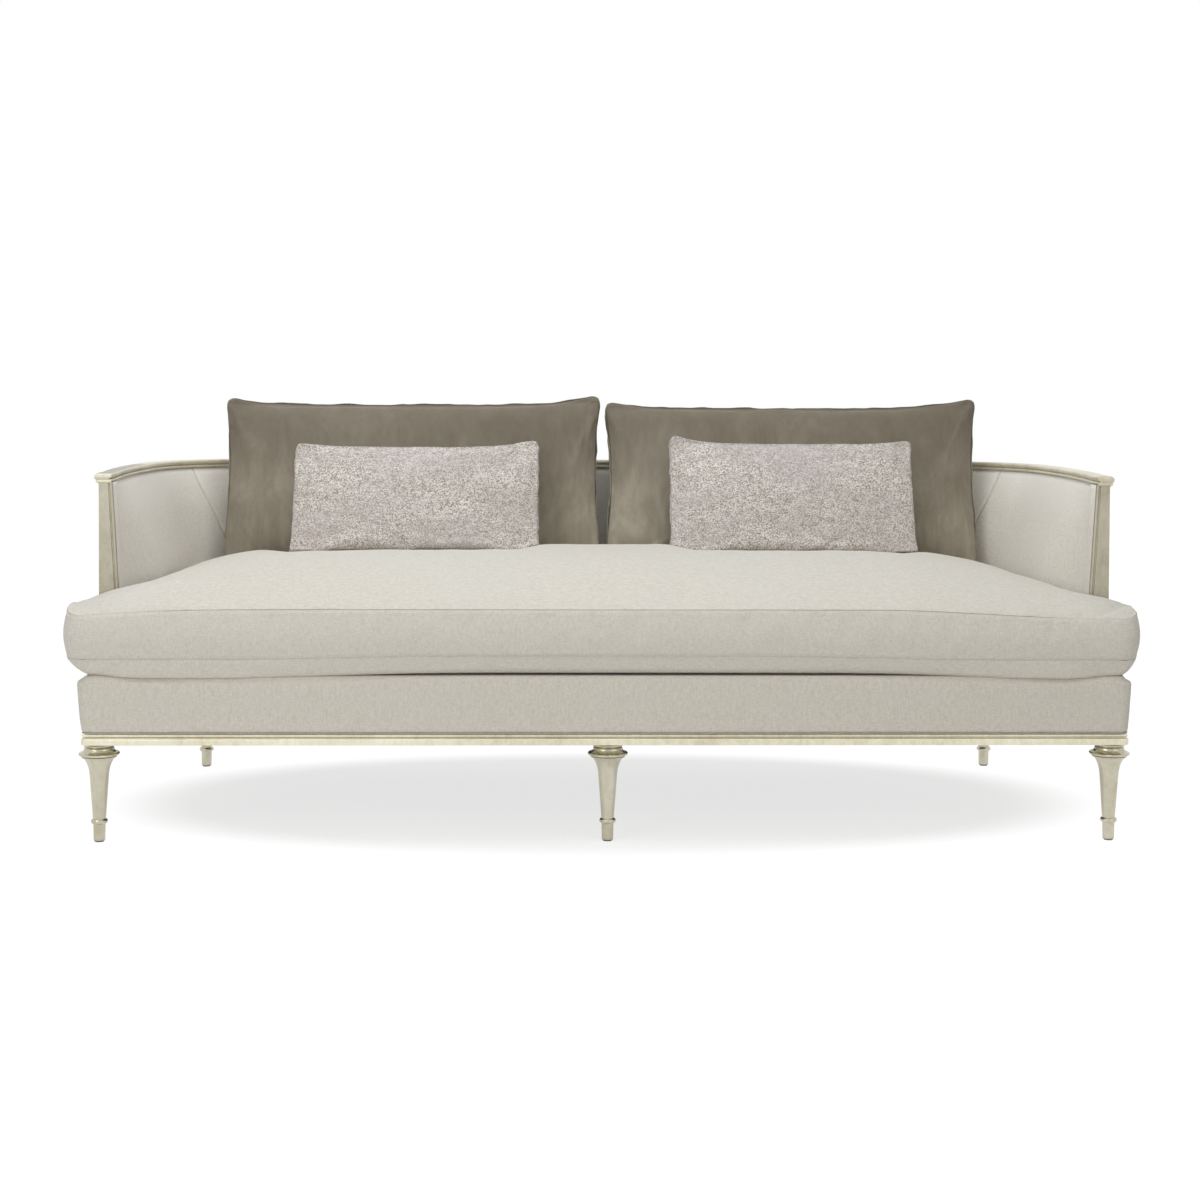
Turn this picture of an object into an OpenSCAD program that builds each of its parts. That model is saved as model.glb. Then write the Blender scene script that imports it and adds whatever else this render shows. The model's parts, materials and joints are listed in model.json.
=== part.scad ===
// Tub sofa: turned legs, a moulded plinth and top rail, a T-shaped bench cushion and loose cushions.
// X runs across the sofa, Y from front to back and Z up. The origin is on the floor, under the middle.

/* [Frame] */
// Width across the outer faces of the two arm posts
post_span = 2136; // [1700:1:2400]
// Depth from the front face of the front seat rail to the back face of the back seat rail
frame_depth = 920; // [860:1:1000]
// Height of the top of the show rail above the floor
rail_top_z = 760; // [720:1:820]
// Height of the seat rails
seat_rail_h = 98; // [80:1:120]
// Thickness of the straight seat rails
seat_rail_t = 28; // [22:1:34]
// Thickness of the bent seat rails in the back corners
corner_rail_t = 40; // [32:1:50]
// Thickness of the studs in the tub wall
stud_t = 22; // [18:1:24]
// Width of a stud
stud_w = 45; // [35:1:60]
// Width of a stretcher under the seat
stretcher_w = 40; // [30:1:50]
// Height of a stretcher under the seat
stretcher_h = 80; // [60:1:90]
// Distance between two stretchers
stretcher_pitch = 540; // [400:1:600]
// Leg length of the triangular corner blocks
block_leg = 90; // [70:1:120]
// Height of the corner blocks
block_h = 74; // [60:1:90]

/* [Tub plan] */
// How far each arm bows outwards between its post and the back corner
arm_bow = 20; // [10:1:34]
// Distance from the front rail back to the place where the arms bow out most
bow_at = 470; // [430:1:520]
// Radius of the rounded back corners, on the outer face of the frame
corner_r = 280; // [240:1:320]

/* [Posts] */
// Distance from the front of the front rail back to the front face of the posts
post_setback = 112; // [100:1:140]
// Depth of a post from front to back
post_d = 45; // [38:1:55]
// Width of a post under the top rail
post_w_top = 28; // [26:1:32]
// Width of a post at its foot
post_w_foot = 51; // [42:1:60]
// Radius of the bead along the inner edge of a post
post_bead_r = 2.8; // [2:0.1:5]
// Radius of the groove beside the bead
post_groove_r = 1.8; // [1:0.1:2.5]
// How far the bead stands proud of the post's face
post_bead_proud = 1.2; // [0.5:0.1:2]

/* [Top rail] */
// Height of the moulded top rail over the posts
rail_h = 19; // [18.5:0.5:24]
// How far the rail's outer side hangs down over the posts
rail_lip_h = 6; // [4:0.5:8]
// How far the rail reaches inwards from the outer face of the frame
rail_in = 28; // [26:1:36]
// How far the rail's nose stands out past the frame
rail_out = 8; // [7:0.5:12]
// How far the rail's end overhangs the front of the post
rail_end_out = 6; // [3:0.5:10]
// Radius of the rounded nose on the outer side
rail_nose_r = 8.25; // [7:0.25:9]
// Radius of the cove under the outer nose
rail_cove_r = 5; // [3:0.5:6]
// Radius of the rounded nose on the seat side
rail_inner_r = 5.5; // [4.5:0.25:6.5]
// Radius of the small bead under the nose, on the seat side
rail_bead_r = 3.25; // [2.5:0.25:3.5]
// Depth of the groove between nose and bead
rail_groove = 5; // [3:0.5:7]

/* [Plinth] */
// Height of the plinth's underside above the floor
plinth_z = 208; // [190:1:230]
// Height of the plinth moulding
plinth_h = 24; // [22:0.5:30]
// How far the plinth reaches in under the frame
plinth_in = 60; // [50:1:70]
// How far the plinth's fascia stands out past the frame
plinth_out = 12; // [11:0.5:16]
// Height of the lower fascia
fascia_h = 13; // [11:0.5:15]
// Height of the groove above the fascia
plinth_groove_h = 2.5; // [1.5:0.25:4]
// Depth of the groove above the fascia
plinth_groove = 6; // [4:0.5:8]
// How far the upper bead stays behind the fascia
plinth_bead_back = 2.75; // [1:0.25:4]
// How much is cut off the plinth's front corners, along each face
plinth_cant = 10; // [6:0.5:12]

/* [Legs] */
// Distance from a front leg's centre to the side of the frame
leg_side_inset = 16; // [12:1:20]
// Distance from a front leg's centre to the front of the frame
leg_front_inset = 40; // [36:1:46]
// Place of a rear leg along its back corner, in degrees from the side
rear_leg_angle = 51; // [40:1:65]
// Distance from a rear leg's centre to the outer face of the frame
rear_leg_inset = 15; // [12:1:24]
// Radius of the foot
foot_r = 12; // [10:0.25:14]
// Radius of the ankle, under its ring
ankle_r = 12.7; // [12:0.1:16]
// Height of the middle of the ankle ring above the floor
ankle_z = 42.5; // [36:0.5:60]
// Radius of the ankle ring's own section
ring_r = 5.5; // [4:0.25:7]
// Widening of the shaft for each millimetre of height
shaft_slope = 0.0715; // [0.05:0.0005:0.09]
// Height of the flare at the top of the shaft
flare_h = 44; // [36:1:50]
// How much the flare widens the shaft
flare_out = 10; // [6:0.5:14]
// How far the lip above the flare stands out past it
lip_out = 4; // [3:0.25:6]
// Largest radius of the collar
collar_r = 42; // [40:0.5:48]
// Largest radius of the ring between the collar and the plinth
neck_r = 32; // [28:0.5:34]
// Height of the turned head, from the flare to the plinth
head_h = 33; // [32:0.5:40]
// Thickness of the glide under each foot
glide_h = 2; // [1.5:0.25:4]
// How far a glide stays inside its foot's edge
glide_back = 2; // [1:0.25:4]
// Diameter of the hanger bolts
bolt_d = 8; // [6:1:10]
// Length of a hanger bolt inside the leg
bolt_in_leg = 34; // [25:1:45]
// Length of a hanger bolt above the plinth
bolt_in_frame = 46; // [35:1:60]

/* [Joinery] */
// Diameter of the dowels under the top rail
dowel_d = 10; // [8:1:12]
// Depth of a dowel in its stud or post
dowel_down = 25; // [18:1:35]
// Depth of a dowel in the top rail
dowel_up = 12; // [8:1:13]
// Diameter of the corner block screws
screw_d = 5; // [4:0.5:6]
// Length of the corner block screws
screw_l = 56; // [45:1:60]
// Diameter of a screw's head
screw_head_d = 9; // [8:0.5:12]
// Height of a screw's head
screw_head_h = 3; // [2:0.5:5]
// Clearance of a bolt, dowel or screw in its hole, on the diameter
hole_clear = 0.4; // [0.2:0.1:0.8]

/* [Seat base] */
// Width of a webbing strap
web_w = 60; // [50:1:80]
// Thickness of a webbing strap
web_t = 2.4; // [1.5:0.1:3.5]
// Distance between the straps that run front to back
web_pitch_x = 125; // [100:1:160]
// Distance between the straps that run side to side
web_pitch_y = 120; // [100:1:150]
// Thickness of the deck pad
deck_t = 16; // [12:1:24]
// Thickness of the dust cover
dust_t = 1; // [0.8:0.1:2]
// Thickness of the apron's padding at its foot
apron_t = 11; // [9:0.5:14]
// Extra thickness of the apron near its top
apron_swell = 5; // [2:0.5:8]
// Radius of the apron's rounded top edge
apron_edge_r = 8; // [5:0.5:10]
// Radius of the front rail's rounded corners
front_corner_r = 8; // [5:0.5:12]
// Thickness of the padded outside panels
outside_t = 5; // [4:0.5:8]

/* [Inside padding] */
// Thickness of the inside wall under the rail, from the outer face of the frame
pad_top_t = 27; // [25:1:34]
// Thickness of the inside wall at the seat, from the outer face of the frame
pad_seat_t = 100; // [85:1:115]
// Height at which the padding reaches its full thickness
pad_full_z = 505; // [470:1:540]
// Length over which the arm padding swells behind the post
pad_swell_l = 220; // [150:1:300]
// How far the padding stays behind the post's inner edge where they meet
pad_tuck = 3; // [1:0.5:5]
// Place of the seam between arm and back padding, in degrees round the corner
seam_angle = 47; // [35:1:60]

/* [Seat cushion] */
// How far each front lobe reaches past the side of the frame
lobe_out = 48; // [38:1:60]
// How far the cushion overhangs the front rail
seat_overhang = 30; // [22:1:45]
// Height of the top seam at the middle of the front
seam_top_z = 489; // [460:1:520]
// Height of the bottom seam
seam_low_z = 390; // [375:1:410]
// Rise of the crown above the top seam
seat_crown = 90; // [40:1:100]
// How far the boxing bulges past its seams
boxing_bulge = 10; // [6:0.5:12]
// Fall of both seams from the middle to the lobes
seam_fall = 14; // [0:1:18]
// Radius of the lobes' front corners
lobe_corner_r = 42; // [25:1:55]
// Distance over which the underside rolls up to the bottom seam
under_roll = 30; // [15:1:60]
// Extra width that the crown's curve is drawn over
crown_spread = 60; // [40:1:90]

/* [Back cushions] */
// How far the back cushions reach past the start of the tub's rear bends
back_reach = 112.7; // [60:0.1:125]
// Gap between the two back cushions
back_gap = 20; // [12:1:40]
// Height of the back cushions' top corners above the floor
back_top_z = 900; // [860:1:960]
// Half thickness of a back cushion at its middle
back_half_t = 86; // [60:1:88]
// Half thickness of a back cushion at its edges
back_edge_t = 24; // [18:1:30]
// Sag of the top edge between the corners
back_sag = 6; // [0:1:15]
// How far the sides draw in between the corners
back_pull = 9; // [0:1:15]
// Distance from the inside back wall to the foot of the cushion's middle plane
back_foot_gap = 85; // [85:1:110]
// Distance from the cushion's middle plane at its top to the wall's top
back_head_gap = 65; // [65:1:90]

/* [Lumbar pillows] */
// Width of a lumbar pillow
pillow_w = 574; // [440:1:650]
// Height of a lumbar pillow's corners above the floor
pillow_top_z = 815; // [760:1:840]
// Half thickness of a pillow at its middle
pillow_half_t = 49; // [40:1:56]
// Half thickness of a pillow at its edges
pillow_edge_t = 12; // [8:1:18]
// Sag of the top edge between the corners
pillow_sag = 4; // [0:1:12]
// Place of a pillow's middle, from the middle of the sofa
pillow_x = 445; // [340:1:520]
// How far the loose cushions and pillows all lie to the right of the middle
loose_shift = 8; // [-15:1:15]
// How far the corners of cushions and pillows are drawn in
corner_in = 9; // [0:1:15]
// Distance from the back cushion's middle plane to the pillow's foot
pillow_foot_gap = 164; // [150:1:200]
// Distance from the back cushion's middle plane to the pillow's head
pillow_head_gap = 148; // [130:1:180]

/* [Clearances] */
// Gap between padding and wood
pad_clear = 0.3; // [0.2:0.1:0.6]
// Gap between the seat cushion and what it lies on or against
seat_clear = 1; // [0.6:0.1:2]
// Gap between the cushions and the crowned seat below them
crown_clear = 2.9; // [2.8:0.1:8]

/* [Hidden] */
arc_fn = 256;
turn_fn = 96;
big = 400;

// Heights
foot_top_z = plinth_z;
rail_z = plinth_z + plinth_h;
seat_rail_top = rail_z + seat_rail_h;
web_z = seat_rail_top;
cross_z = web_z + web_t + pad_clear / 2;
deck_z = cross_z + web_t + pad_clear;
deck_top = deck_z + deck_t;
top_rail_z = rail_top_z - rail_h;

// Plan: the right half, from the front rail round to the middle of the back
post_half = post_span / 2;
front_y = (seat_overhang - plinth_out - frame_depth) / 2;
back_y = front_y + frame_depth;
post_front_y = front_y + post_setback;
post_back_y = post_front_y + post_d;
bow_y = front_y + bow_at;
arm_chord = bow_y - post_back_y;
arm_r = (arm_chord * arm_chord + arm_bow * arm_bow) / (2 * arm_bow);
arm_cx = post_half + arm_bow - arm_r;
arm_a0 = -asin(arm_chord / arm_r);
corner_cy = back_y - corner_r;
arm_a1 = asin((corner_cy - bow_y) / (arm_r - corner_r));
corner_cx = arm_cx + (arm_r - corner_r) * cos(arm_a1);
arm_len = arm_r * (arm_a1 - arm_a0) * PI / 180;

// Legs: the front corners, the front middle and the two rear corners
leg_front_x = post_half - leg_side_inset;
leg_front_y = front_y + leg_front_inset;
leg_rear_x = corner_cx + (corner_r - rear_leg_inset) * cos(rear_leg_angle);
leg_rear_y = corner_cy + (corner_r - rear_leg_inset) * sin(rear_leg_angle);
leg_places = [
    [-leg_front_x, leg_front_y], [0, leg_front_y], [leg_front_x, leg_front_y],
    [-leg_rear_x, leg_rear_y], [leg_rear_x, leg_rear_y]
];

// Studs of the tub wall: shares of the arm's arc, angles round the corner and places along the back
arm_stud_shares = [0.36, 0.8];
corner_stud_angle = 48;
back_stud_count = 5;
back_stud_pitch = 2 * (corner_cx - stud_w / 2) / (back_stud_count - 1);
stud_mid = stud_t / 2;

// Seat cushion: the seam's rows from front to back
seam_front_y = front_y - seat_overhang + boxing_bulge;
wall_clear = seat_clear + boxing_bulge;
lobe_half = post_half + lobe_out - boxing_bulge;
lobe_back_y = post_front_y - rail_end_out - wall_clear;
seam_back_y = back_y - pad_seat_t - wall_clear;
seat_mid_y = (seam_front_y + seam_back_y) / 2;
seat_half_d = (seam_back_y - seam_front_y) / 2;
seat_low_z = deck_top + pad_clear;

// Back cushions: the middle plane leans from the seat to the rail
back_w = corner_cx + back_reach - back_gap / 2;
back_foot_y = back_y - pad_seat_t - back_foot_gap;
back_head_y = back_y - pad_top_t - back_head_gap;
back_foot_share = 0.62;
back_foot_z = seam_top_z + seat_crown * back_foot_share;
back_lean = atan((back_head_y - back_foot_y) / (back_top_z - back_foot_z));

// Lumbar pillows: the same, leaning on the back cushions
pillow_foot_y = back_foot_y - pillow_foot_gap;
pillow_head_y = back_head_y - pillow_head_gap;
pillow_foot_share = 0.8;
pillow_foot_z = seam_top_z + seat_crown * pillow_foot_share;
pillow_lean = atan((pillow_head_y - pillow_foot_y) / (pillow_top_z - pillow_foot_z));

leaf = [0.74, 0.72, 0.62];
linen = [0.79, 0.77, 0.73];
taupe = [0.52, 0.49, 0.44];
heather = [0.75, 0.72, 0.70];
timber = [0.76, 0.62, 0.44];
steel = [0.62, 0.63, 0.65];
dark = [0.16, 0.16, 0.17];

// Points on an arc round a centre in the plane of a profile
function arc(cx, cz, r, a0, a1, n) =
    [for (i = [0:n]) let (a = a0 + (a1 - a0) * i / n) [cx + r * cos(a), cz + r * sin(a)]];

function mix(a, b, t) = a + (b - a) * t;
function unit_step(t) = let (c = min(max(t, 0), 1)) c * c * (3 - 2 * c);

// A station is a point on the outer face of the frame and the outward direction there
function arm_station(a) = [arm_cx + arm_r * cos(a), bow_y + arm_r * sin(a), cos(a), sin(a)];
function corner_station(a) = [corner_cx + corner_r * cos(a), corner_cy + corner_r * sin(a), cos(a), sin(a)];
function back_station(x) = [x, back_y, 0, 1];
function mirrored(s) = [-s[0], s[1], -s[2], s[3]];
function at(s, u, z) = [s[0] + u * s[2], s[1] + u * s[3], z];
function plan_at(s, u) = [s[0] + u * s[2], s[1] + u * s[3]];
function backwards(list) = [for (i = [len(list) - 1:-1:0]) list[i]];

// Straight and bent runs of a profile, whose x is the distance outwards and whose y is the height
module arm_run(a0 = arm_a0, a1 = arm_a1) {
    translate([arm_cx, bow_y, 0]) rotate([0, 0, a0])
        rotate_extrude(angle = a1 - a0, $fn = arc_fn) translate([arm_r, 0]) children();
}

module corner_run(a0 = arm_a1, a1 = 90) {
    translate([corner_cx, corner_cy, 0]) rotate([0, 0, a0])
        rotate_extrude(angle = a1 - a0, $fn = arc_fn) translate([corner_r, 0]) children();
}

module back_run(x0 = -corner_cx, x1 = corner_cx) {
    translate([x0, back_y, 0]) rotate([90, 0, 90]) linear_extrude(x1 - x0) children();
}

// The straight run behind the front ends in a mitre with the arm's arc. Its profile is squeezed
// so that both have the same outline in the plane of the mitre.
squeeze = cos(arm_a0);
kink_lap = 1;
function squeezed(points) = [for (p = points) [p[0] * squeeze, p[1]]];

module side_run(y0) {
    reach = post_back_y + 20 - y0;
    intersection() {
        translate([post_half, y0 + reach, 0]) rotate([90, 0, 0]) linear_extrude(reach) children();
        translate([post_half, post_back_y, 0]) rotate([0, 0, arm_a0])
            translate([-big, -2 * big, 0]) cube([2 * big, 2 * big + kink_lap, rail_top_z + rail_h]);
    }
}

module kinked_arm_run() {
    arm_run(arm_a0 - kink_lap / arm_r * 180 / PI) children();
}

module front_run(x0, x1, y = front_y) {
    translate([x1, y, 0]) rotate([90, 0, -90]) linear_extrude(x1 - x0) children();
}

module left() {
    mirror([1, 0, 0]) children();
}

// A strip of wall between two heights, from one distance to another
module wall_profile(u0, u1, z0, z1) {
    translate([u0, z0]) square([u1 - u0, z1 - z0]);
}

// Plinth moulding: a flat fascia, a groove and an upper bead
plinth_bead_r = (plinth_h - fascia_h - plinth_groove_h) / 2;
fascia_round = 1.5;
plinth_points = concat(
    [[-plinth_in, plinth_z]],
    arc(plinth_out - fascia_round, plinth_z + fascia_round, fascia_round, -90, 0, 3),
    arc(plinth_out - fascia_round, plinth_z + fascia_h - fascia_round, fascia_round, 0, 90, 3),
    [[plinth_out - plinth_groove, plinth_z + fascia_h]],
    [[plinth_out - plinth_groove, plinth_z + fascia_h + plinth_groove_h]],
    arc(plinth_out - plinth_bead_back - plinth_bead_r, rail_z - plinth_bead_r, plinth_bead_r, -80, 90, 7),
    [[-plinth_in, rail_z]]
);

module plinth_profile() {
    polygon(plinth_points);
}

// Half space behind or before the mitre at the front right corner
module mitre_side(side) {
    translate([post_half, front_y, plinth_z - 1]) rotate([0, 0, 45])
        translate([side > 0 ? 0 : -big, -big / 2, 0]) cube([big, big, plinth_h + 2]);
}

// What the canted front right corner leaves out
module canted_off() {
    mid = plinth_out - plinth_cant / 2;
    translate([post_half + mid, front_y - mid, plinth_z - 1]) rotate([0, 0, -45])
        translate([0, -plinth_cant, 0]) cube([plinth_cant, 2 * plinth_cant, plinth_h + 2]);
}

module bolt_holes(places) {
    for (p = places)
        translate([p[0], p[1], plinth_z - bolt_in_leg]) cylinder(
            d = bolt_d + hole_clear, h = bolt_in_leg + plinth_h + bolt_in_frame, $fn = 32);
}

module plinth_front() {
    reach = post_half + plinth_out + 1;
    color(leaf) difference() {
        front_run(-reach, reach) plinth_profile();
        mitre_side(1);
        left() mitre_side(1);
        canted_off();
        left() canted_off();
        bolt_holes([leg_places[1]]);
    }
}

module plinth_side() {
    color(leaf) difference() {
        union() {
            side_run(front_y - plinth_out - 1) polygon(squeezed(plinth_points));
            kinked_arm_run() plinth_profile();
        }
        mitre_side(-1);
        canted_off();
        bolt_holes([leg_places[2]]);
    }
}

module plinth_corner() {
    color(leaf) difference() {
        corner_run() plinth_profile();
        bolt_holes([leg_places[4]]);
    }
}

module plinth_back() {
    color(leaf) back_run() plinth_profile();
}

// Turned leg: foot, ankle ring, flared shaft, lip, collar, hollow and neck ring
flare_top = plinth_z - head_h;
flare_foot = flare_top - flare_h;
ring_top = ankle_z + ring_r + 1;
shaft_r0 = ankle_r + 0.6;
function shaft_r(z) = shaft_r0 + shaft_slope * (z - ring_top)
    + flare_out * pow(max(0, z - flare_foot) / flare_h, 3);
lip_r = 2.2;
lip_x = shaft_r(flare_top) + lip_out - lip_r;
collar_edge_r = 3;
collar_z = flare_top + 2 * lip_r + collar_edge_r + 0.6;
hollow_r = 9.5;
hollow_x = collar_r - 2;
hollow_z = collar_z + collar_edge_r + hollow_r;
neck_ring_r = 5;
neck_x = neck_r - neck_ring_r;
neck_z = (hollow_z + plinth_z) / 2;
leg_points = concat(
    [[0, glide_h], [foot_r - 1, glide_h], [foot_r, glide_h + 1.5]],
    [[ankle_r, ankle_z - ring_r - 2]],
    arc(ankle_r - 0.7, ankle_z, ring_r, -75, 75, 8),
    [for (i = [0:6]) let (z = mix(ring_top, flare_foot, i / 6)) [shaft_r(z), z]],
    [for (i = [1:10]) let (z = mix(flare_foot, flare_top, i / 10)) [shaft_r(z), z]],
    arc(lip_x, flare_top + lip_r, lip_r, -80, 80, 5),
    arc(collar_r - collar_edge_r, collar_z, collar_edge_r, -80, 70, 6),
    arc(hollow_x, hollow_z, hollow_r, 268, 182, 5),
    arc(neck_x, neck_z, neck_ring_r, -65, 80, 6),
    [[neck_x, plinth_z], [0, plinth_z]]
);

module leg(place) {
    color(leaf) difference() {
        translate([place[0], place[1], 0]) rotate_extrude($fn = turn_fn) polygon(leg_points);
        bolt_holes([place]);
    }
}

module leg_glides() {
    color(dark) for (p = leg_places)
        translate([p[0], p[1], 0])
            cylinder(r1 = foot_r - glide_back - 0.5, r2 = foot_r - glide_back, h = glide_h, $fn = 48);
}

module hanger_bolts() {
    color(steel) for (p = leg_places)
        translate([p[0], p[1], plinth_z - bolt_in_leg + 1])
            cylinder(d = bolt_d, h = bolt_in_leg + plinth_h + bolt_in_frame - 2, $fn = 32);
}

// Top rail: a rounded nose on both sides, and on the seat side a groove with a bead under it
lip_z = top_rail_z - rail_lip_h;
lip_edge = 0.5;
rail_outer_side = concat(
    arc(lip_edge + rail_cove_r, lip_z, rail_cove_r, 180, 100, 4),
    [[lip_edge + rail_cove_r, lip_z + rail_cove_r + 1.5]],
    arc(rail_out - rail_nose_r, rail_top_z - rail_nose_r, rail_nose_r, -50, 90, 9)
);
rail_inner_side = concat(
    arc(-rail_in + rail_inner_r, rail_top_z - rail_inner_r, rail_inner_r, 90, 270, 8),
    [[-rail_in + rail_groove, rail_top_z - 2 * rail_inner_r]],
    [[-rail_in + rail_groove, top_rail_z + 2 * rail_bead_r]],
    arc(-rail_in + rail_bead_r + 0.5, top_rail_z + rail_bead_r, rail_bead_r, 90, 270, 7)
);

module rail_profile() {
    polygon(concat([[0, top_rail_z], [0, lip_z]], rail_outer_side, rail_inner_side));
}

// The rail over a post, which hangs down in front of the post as well
rail_end_points = concat(
    [[-rail_in, lip_z]], rail_outer_side, rail_inner_side, [[-rail_in, top_rail_z]]
);

// The outer side of the rail, turned across the front of the post
module rail_end_profile() {
    shift = rail_end_out - rail_out;
    polygon(concat([[-big, rail_top_z], [-big, lip_z]], [for (p = rail_outer_side) [p[0] + shift, p[1]]]));
}

module rail_end() {
    difference() {
        intersection() {
            side_run(post_front_y - rail_end_out - 1) polygon(squeezed(rail_end_points));
            front_run(post_half - big / 4, post_half + big / 4, post_front_y) rail_end_profile();
        }
        translate([post_half - big / 2, post_front_y, top_rail_z - big]) cube([big / 2, big, big]);
    }
}

post_dowel_x = post_half - post_w_top / 2;
post_dowel_step = 20;
post_dowel_y = (post_front_y + post_back_y) / 2;
right_dowels = concat(
    [for (k = [-1, 1]) [post_dowel_x, post_dowel_y + k * post_dowel_step / 2]],
    [for (f = arm_stud_shares) plan_at(arm_station(mix(arm_a0, arm_a1, f)), -stud_mid)],
    [plan_at(corner_station(corner_stud_angle), -stud_mid)]
);
back_stud_places = [for (i = [0:back_stud_count - 1])
    -corner_cx + stud_w / 2 + i * back_stud_pitch];
back_dowels = [for (x = back_stud_places) plan_at(back_station(x), -stud_mid)];

module dowel_holes(places) {
    for (p = places)
        translate([p[0], p[1], top_rail_z - dowel_down]) cylinder(
            d = dowel_d + hole_clear, h = dowel_down + dowel_up, $fn = 32);
}

module rail_dowels() {
    color(timber) for (p = concat(right_dowels, back_dowels, [for (q = right_dowels) [-q[0], q[1]]]))
        translate([p[0], p[1], top_rail_z - dowel_down + 1])
            cylinder(d = dowel_d, h = dowel_down + dowel_up - 2, $fn = 32);
}

module top_rail_arm() {
    color(leaf) difference() {
        union() {
            rail_end();
            kinked_arm_run() rail_profile();
        }
        dowel_holes(right_dowels);
    }
}

module top_rail_corner() {
    color(leaf) difference() {
        corner_run() rail_profile();
        dowel_holes(right_dowels);
    }
}

module top_rail_back() {
    color(leaf) difference() {
        back_run() rail_profile();
        dowel_holes(back_dowels);
    }
}

// Front post: tapers upwards, with a groove and a bead along its inner edge
post_h = top_rail_z - seat_rail_top;
post_tilt = atan((post_w_foot - post_w_top) / post_h);

module post_edge_rod(r, inset, proud) {
    translate([post_half - post_w_foot + inset, post_front_y + r - proud, seat_rail_top])
        rotate([0, post_tilt, 0]) translate([0, 0, -20]) cylinder(r = r, h = post_h + 40, $fn = 32);
}

module post() {
    color(leaf) difference() {
        intersection() {
            union() {
                translate([0, post_back_y, 0]) rotate([90, 0, 0]) linear_extrude(post_d) polygon([
                    [post_half, seat_rail_top], [post_half, top_rail_z],
                    [post_half - post_w_top, top_rail_z], [post_half - post_w_foot, seat_rail_top]
                ]);
                post_edge_rod(post_bead_r, post_bead_r, post_bead_proud);
            }
            translate([post_half - 2 * post_w_foot, post_front_y - 10, seat_rail_top])
                cube([2 * post_w_foot, post_d + 10, post_h]);
        }
        post_edge_rod(post_groove_r, 2 * post_bead_r + post_groove_r * 0.8, post_groove_r);
        dowel_holes(right_dowels);
    }
}

// Seat rails
module seat_profile(t) {
    wall_profile(-t, 0, rail_z, seat_rail_top);
}

// Screws of the right corner block: one runs sideways and one forwards
block_x = post_half - seat_rail_t;
block_y = front_y + seat_rail_t;
block_z = rail_z + (seat_rail_h - block_h) / 2;
screw_sink = 3;
screw_off = block_leg / 2;

module screw(extra = 0) {
    cylinder(d = screw_d + extra, h = screw_l, $fn = 24);
    translate([0, 0, -screw_head_h]) cylinder(d = screw_head_d + extra, h = screw_head_h, $fn = 24);
}

module block_screw_pair(extra = 0) {
    start = block_leg - screw_off - screw_sink;
    translate([block_x - start, block_y + screw_off, block_z + block_h * 0.7])
        rotate([0, 90, 0]) screw(extra);
    translate([block_x - screw_off, block_y + start, block_z + block_h * 0.3])
        rotate([90, 0, 0]) screw(extra);
}

module screw_paths() {
    block_screw_pair(hole_clear);
    left() block_screw_pair(hole_clear);
}

module seat_rail_front() {
    flat = seat_rail_t - front_corner_r;
    color(timber) difference() {
        translate([0, 0, rail_z]) linear_extrude(seat_rail_h) {
            translate([-post_half, front_y + front_corner_r]) square([post_span, flat]);
            translate([-post_half + front_corner_r, front_y])
                square([post_span - 2 * front_corner_r, seat_rail_t]);
            for (side = [-1, 1]) translate([side * (post_half - front_corner_r), front_y + front_corner_r])
                circle(r = front_corner_r, $fn = 48);
        }
        screw_paths();
    }
}

module seat_rail_side() {
    color(timber) difference() {
        union() {
            side_run(block_y) seat_profile(seat_rail_t * squeeze);
            kinked_arm_run() seat_profile(seat_rail_t);
        }
        bolt_holes([leg_places[2]]);
        screw_paths();
    }
}

module seat_rail_corner() {
    color(timber) difference() {
        corner_run() seat_profile(corner_rail_t);
        bolt_holes([leg_places[4]]);
    }
}

module seat_rail_back() {
    color(timber) back_run() seat_profile(seat_rail_t);
}

module stretchers() {
    color(timber) difference() {
        for (k = [-1:1]) translate([k * stretcher_pitch - stretcher_w / 2, block_y, rail_z])
            cube([stretcher_w, frame_depth - 2 * seat_rail_t, stretcher_h]);
        bolt_holes([leg_places[1]]);
    }
}

module corner_block() {
    translate([0, 0, block_z]) linear_extrude(block_h) polygon([
        [block_x, block_y], [block_x, block_y + block_leg], [block_x - block_leg, block_y]
    ]);
}

module corner_blocks() {
    color(timber) difference() {
        union() {
            corner_block();
            left() corner_block();
        }
        screw_paths();
    }
}

module block_screws() {
    color(steel) {
        block_screw_pair();
        left() block_screw_pair();
    }
}

// Studs between the seat rails and the top rail
module stud_profile() {
    wall_profile(-stud_t, 0, seat_rail_top, top_rail_z);
}

module arm_studs() {
    arm_half = stud_w / arm_r * 90 / PI;
    corner_half = stud_w / corner_r * 90 / PI;
    color(timber) difference() {
        union() {
            for (f = arm_stud_shares) {
                a = mix(arm_a0, arm_a1, f);
                arm_run(a - arm_half, a + arm_half) stud_profile();
            }
            corner_run(corner_stud_angle - corner_half, corner_stud_angle + corner_half) stud_profile();
        }
        dowel_holes(right_dowels);
    }
}

module back_studs() {
    color(timber) difference() {
        for (x = back_stud_places) back_run(x - stud_w / 2, x + stud_w / 2) stud_profile();
        dowel_holes(back_dowels);
    }
}

// Webbing, deck and dust cover
web_end_in = 4;
web_front_y = front_y + web_end_in;
web_back_y = back_y - stud_t - 1;
web_half_count = floor((corner_cx - web_w) / web_pitch_x);
cross_first_in = 40;
cross_first_y = post_back_y + cross_first_in;
function cross_half(y) = arm_cx - stud_t - 1 + min(
    sqrt(arm_r * arm_r - pow(y - web_w / 2 - bow_y, 2)), sqrt(arm_r * arm_r - pow(y + web_w / 2 - bow_y, 2)));
cross_count = floor((corner_cy - cross_first_y) / web_pitch_y) + 1;

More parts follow.
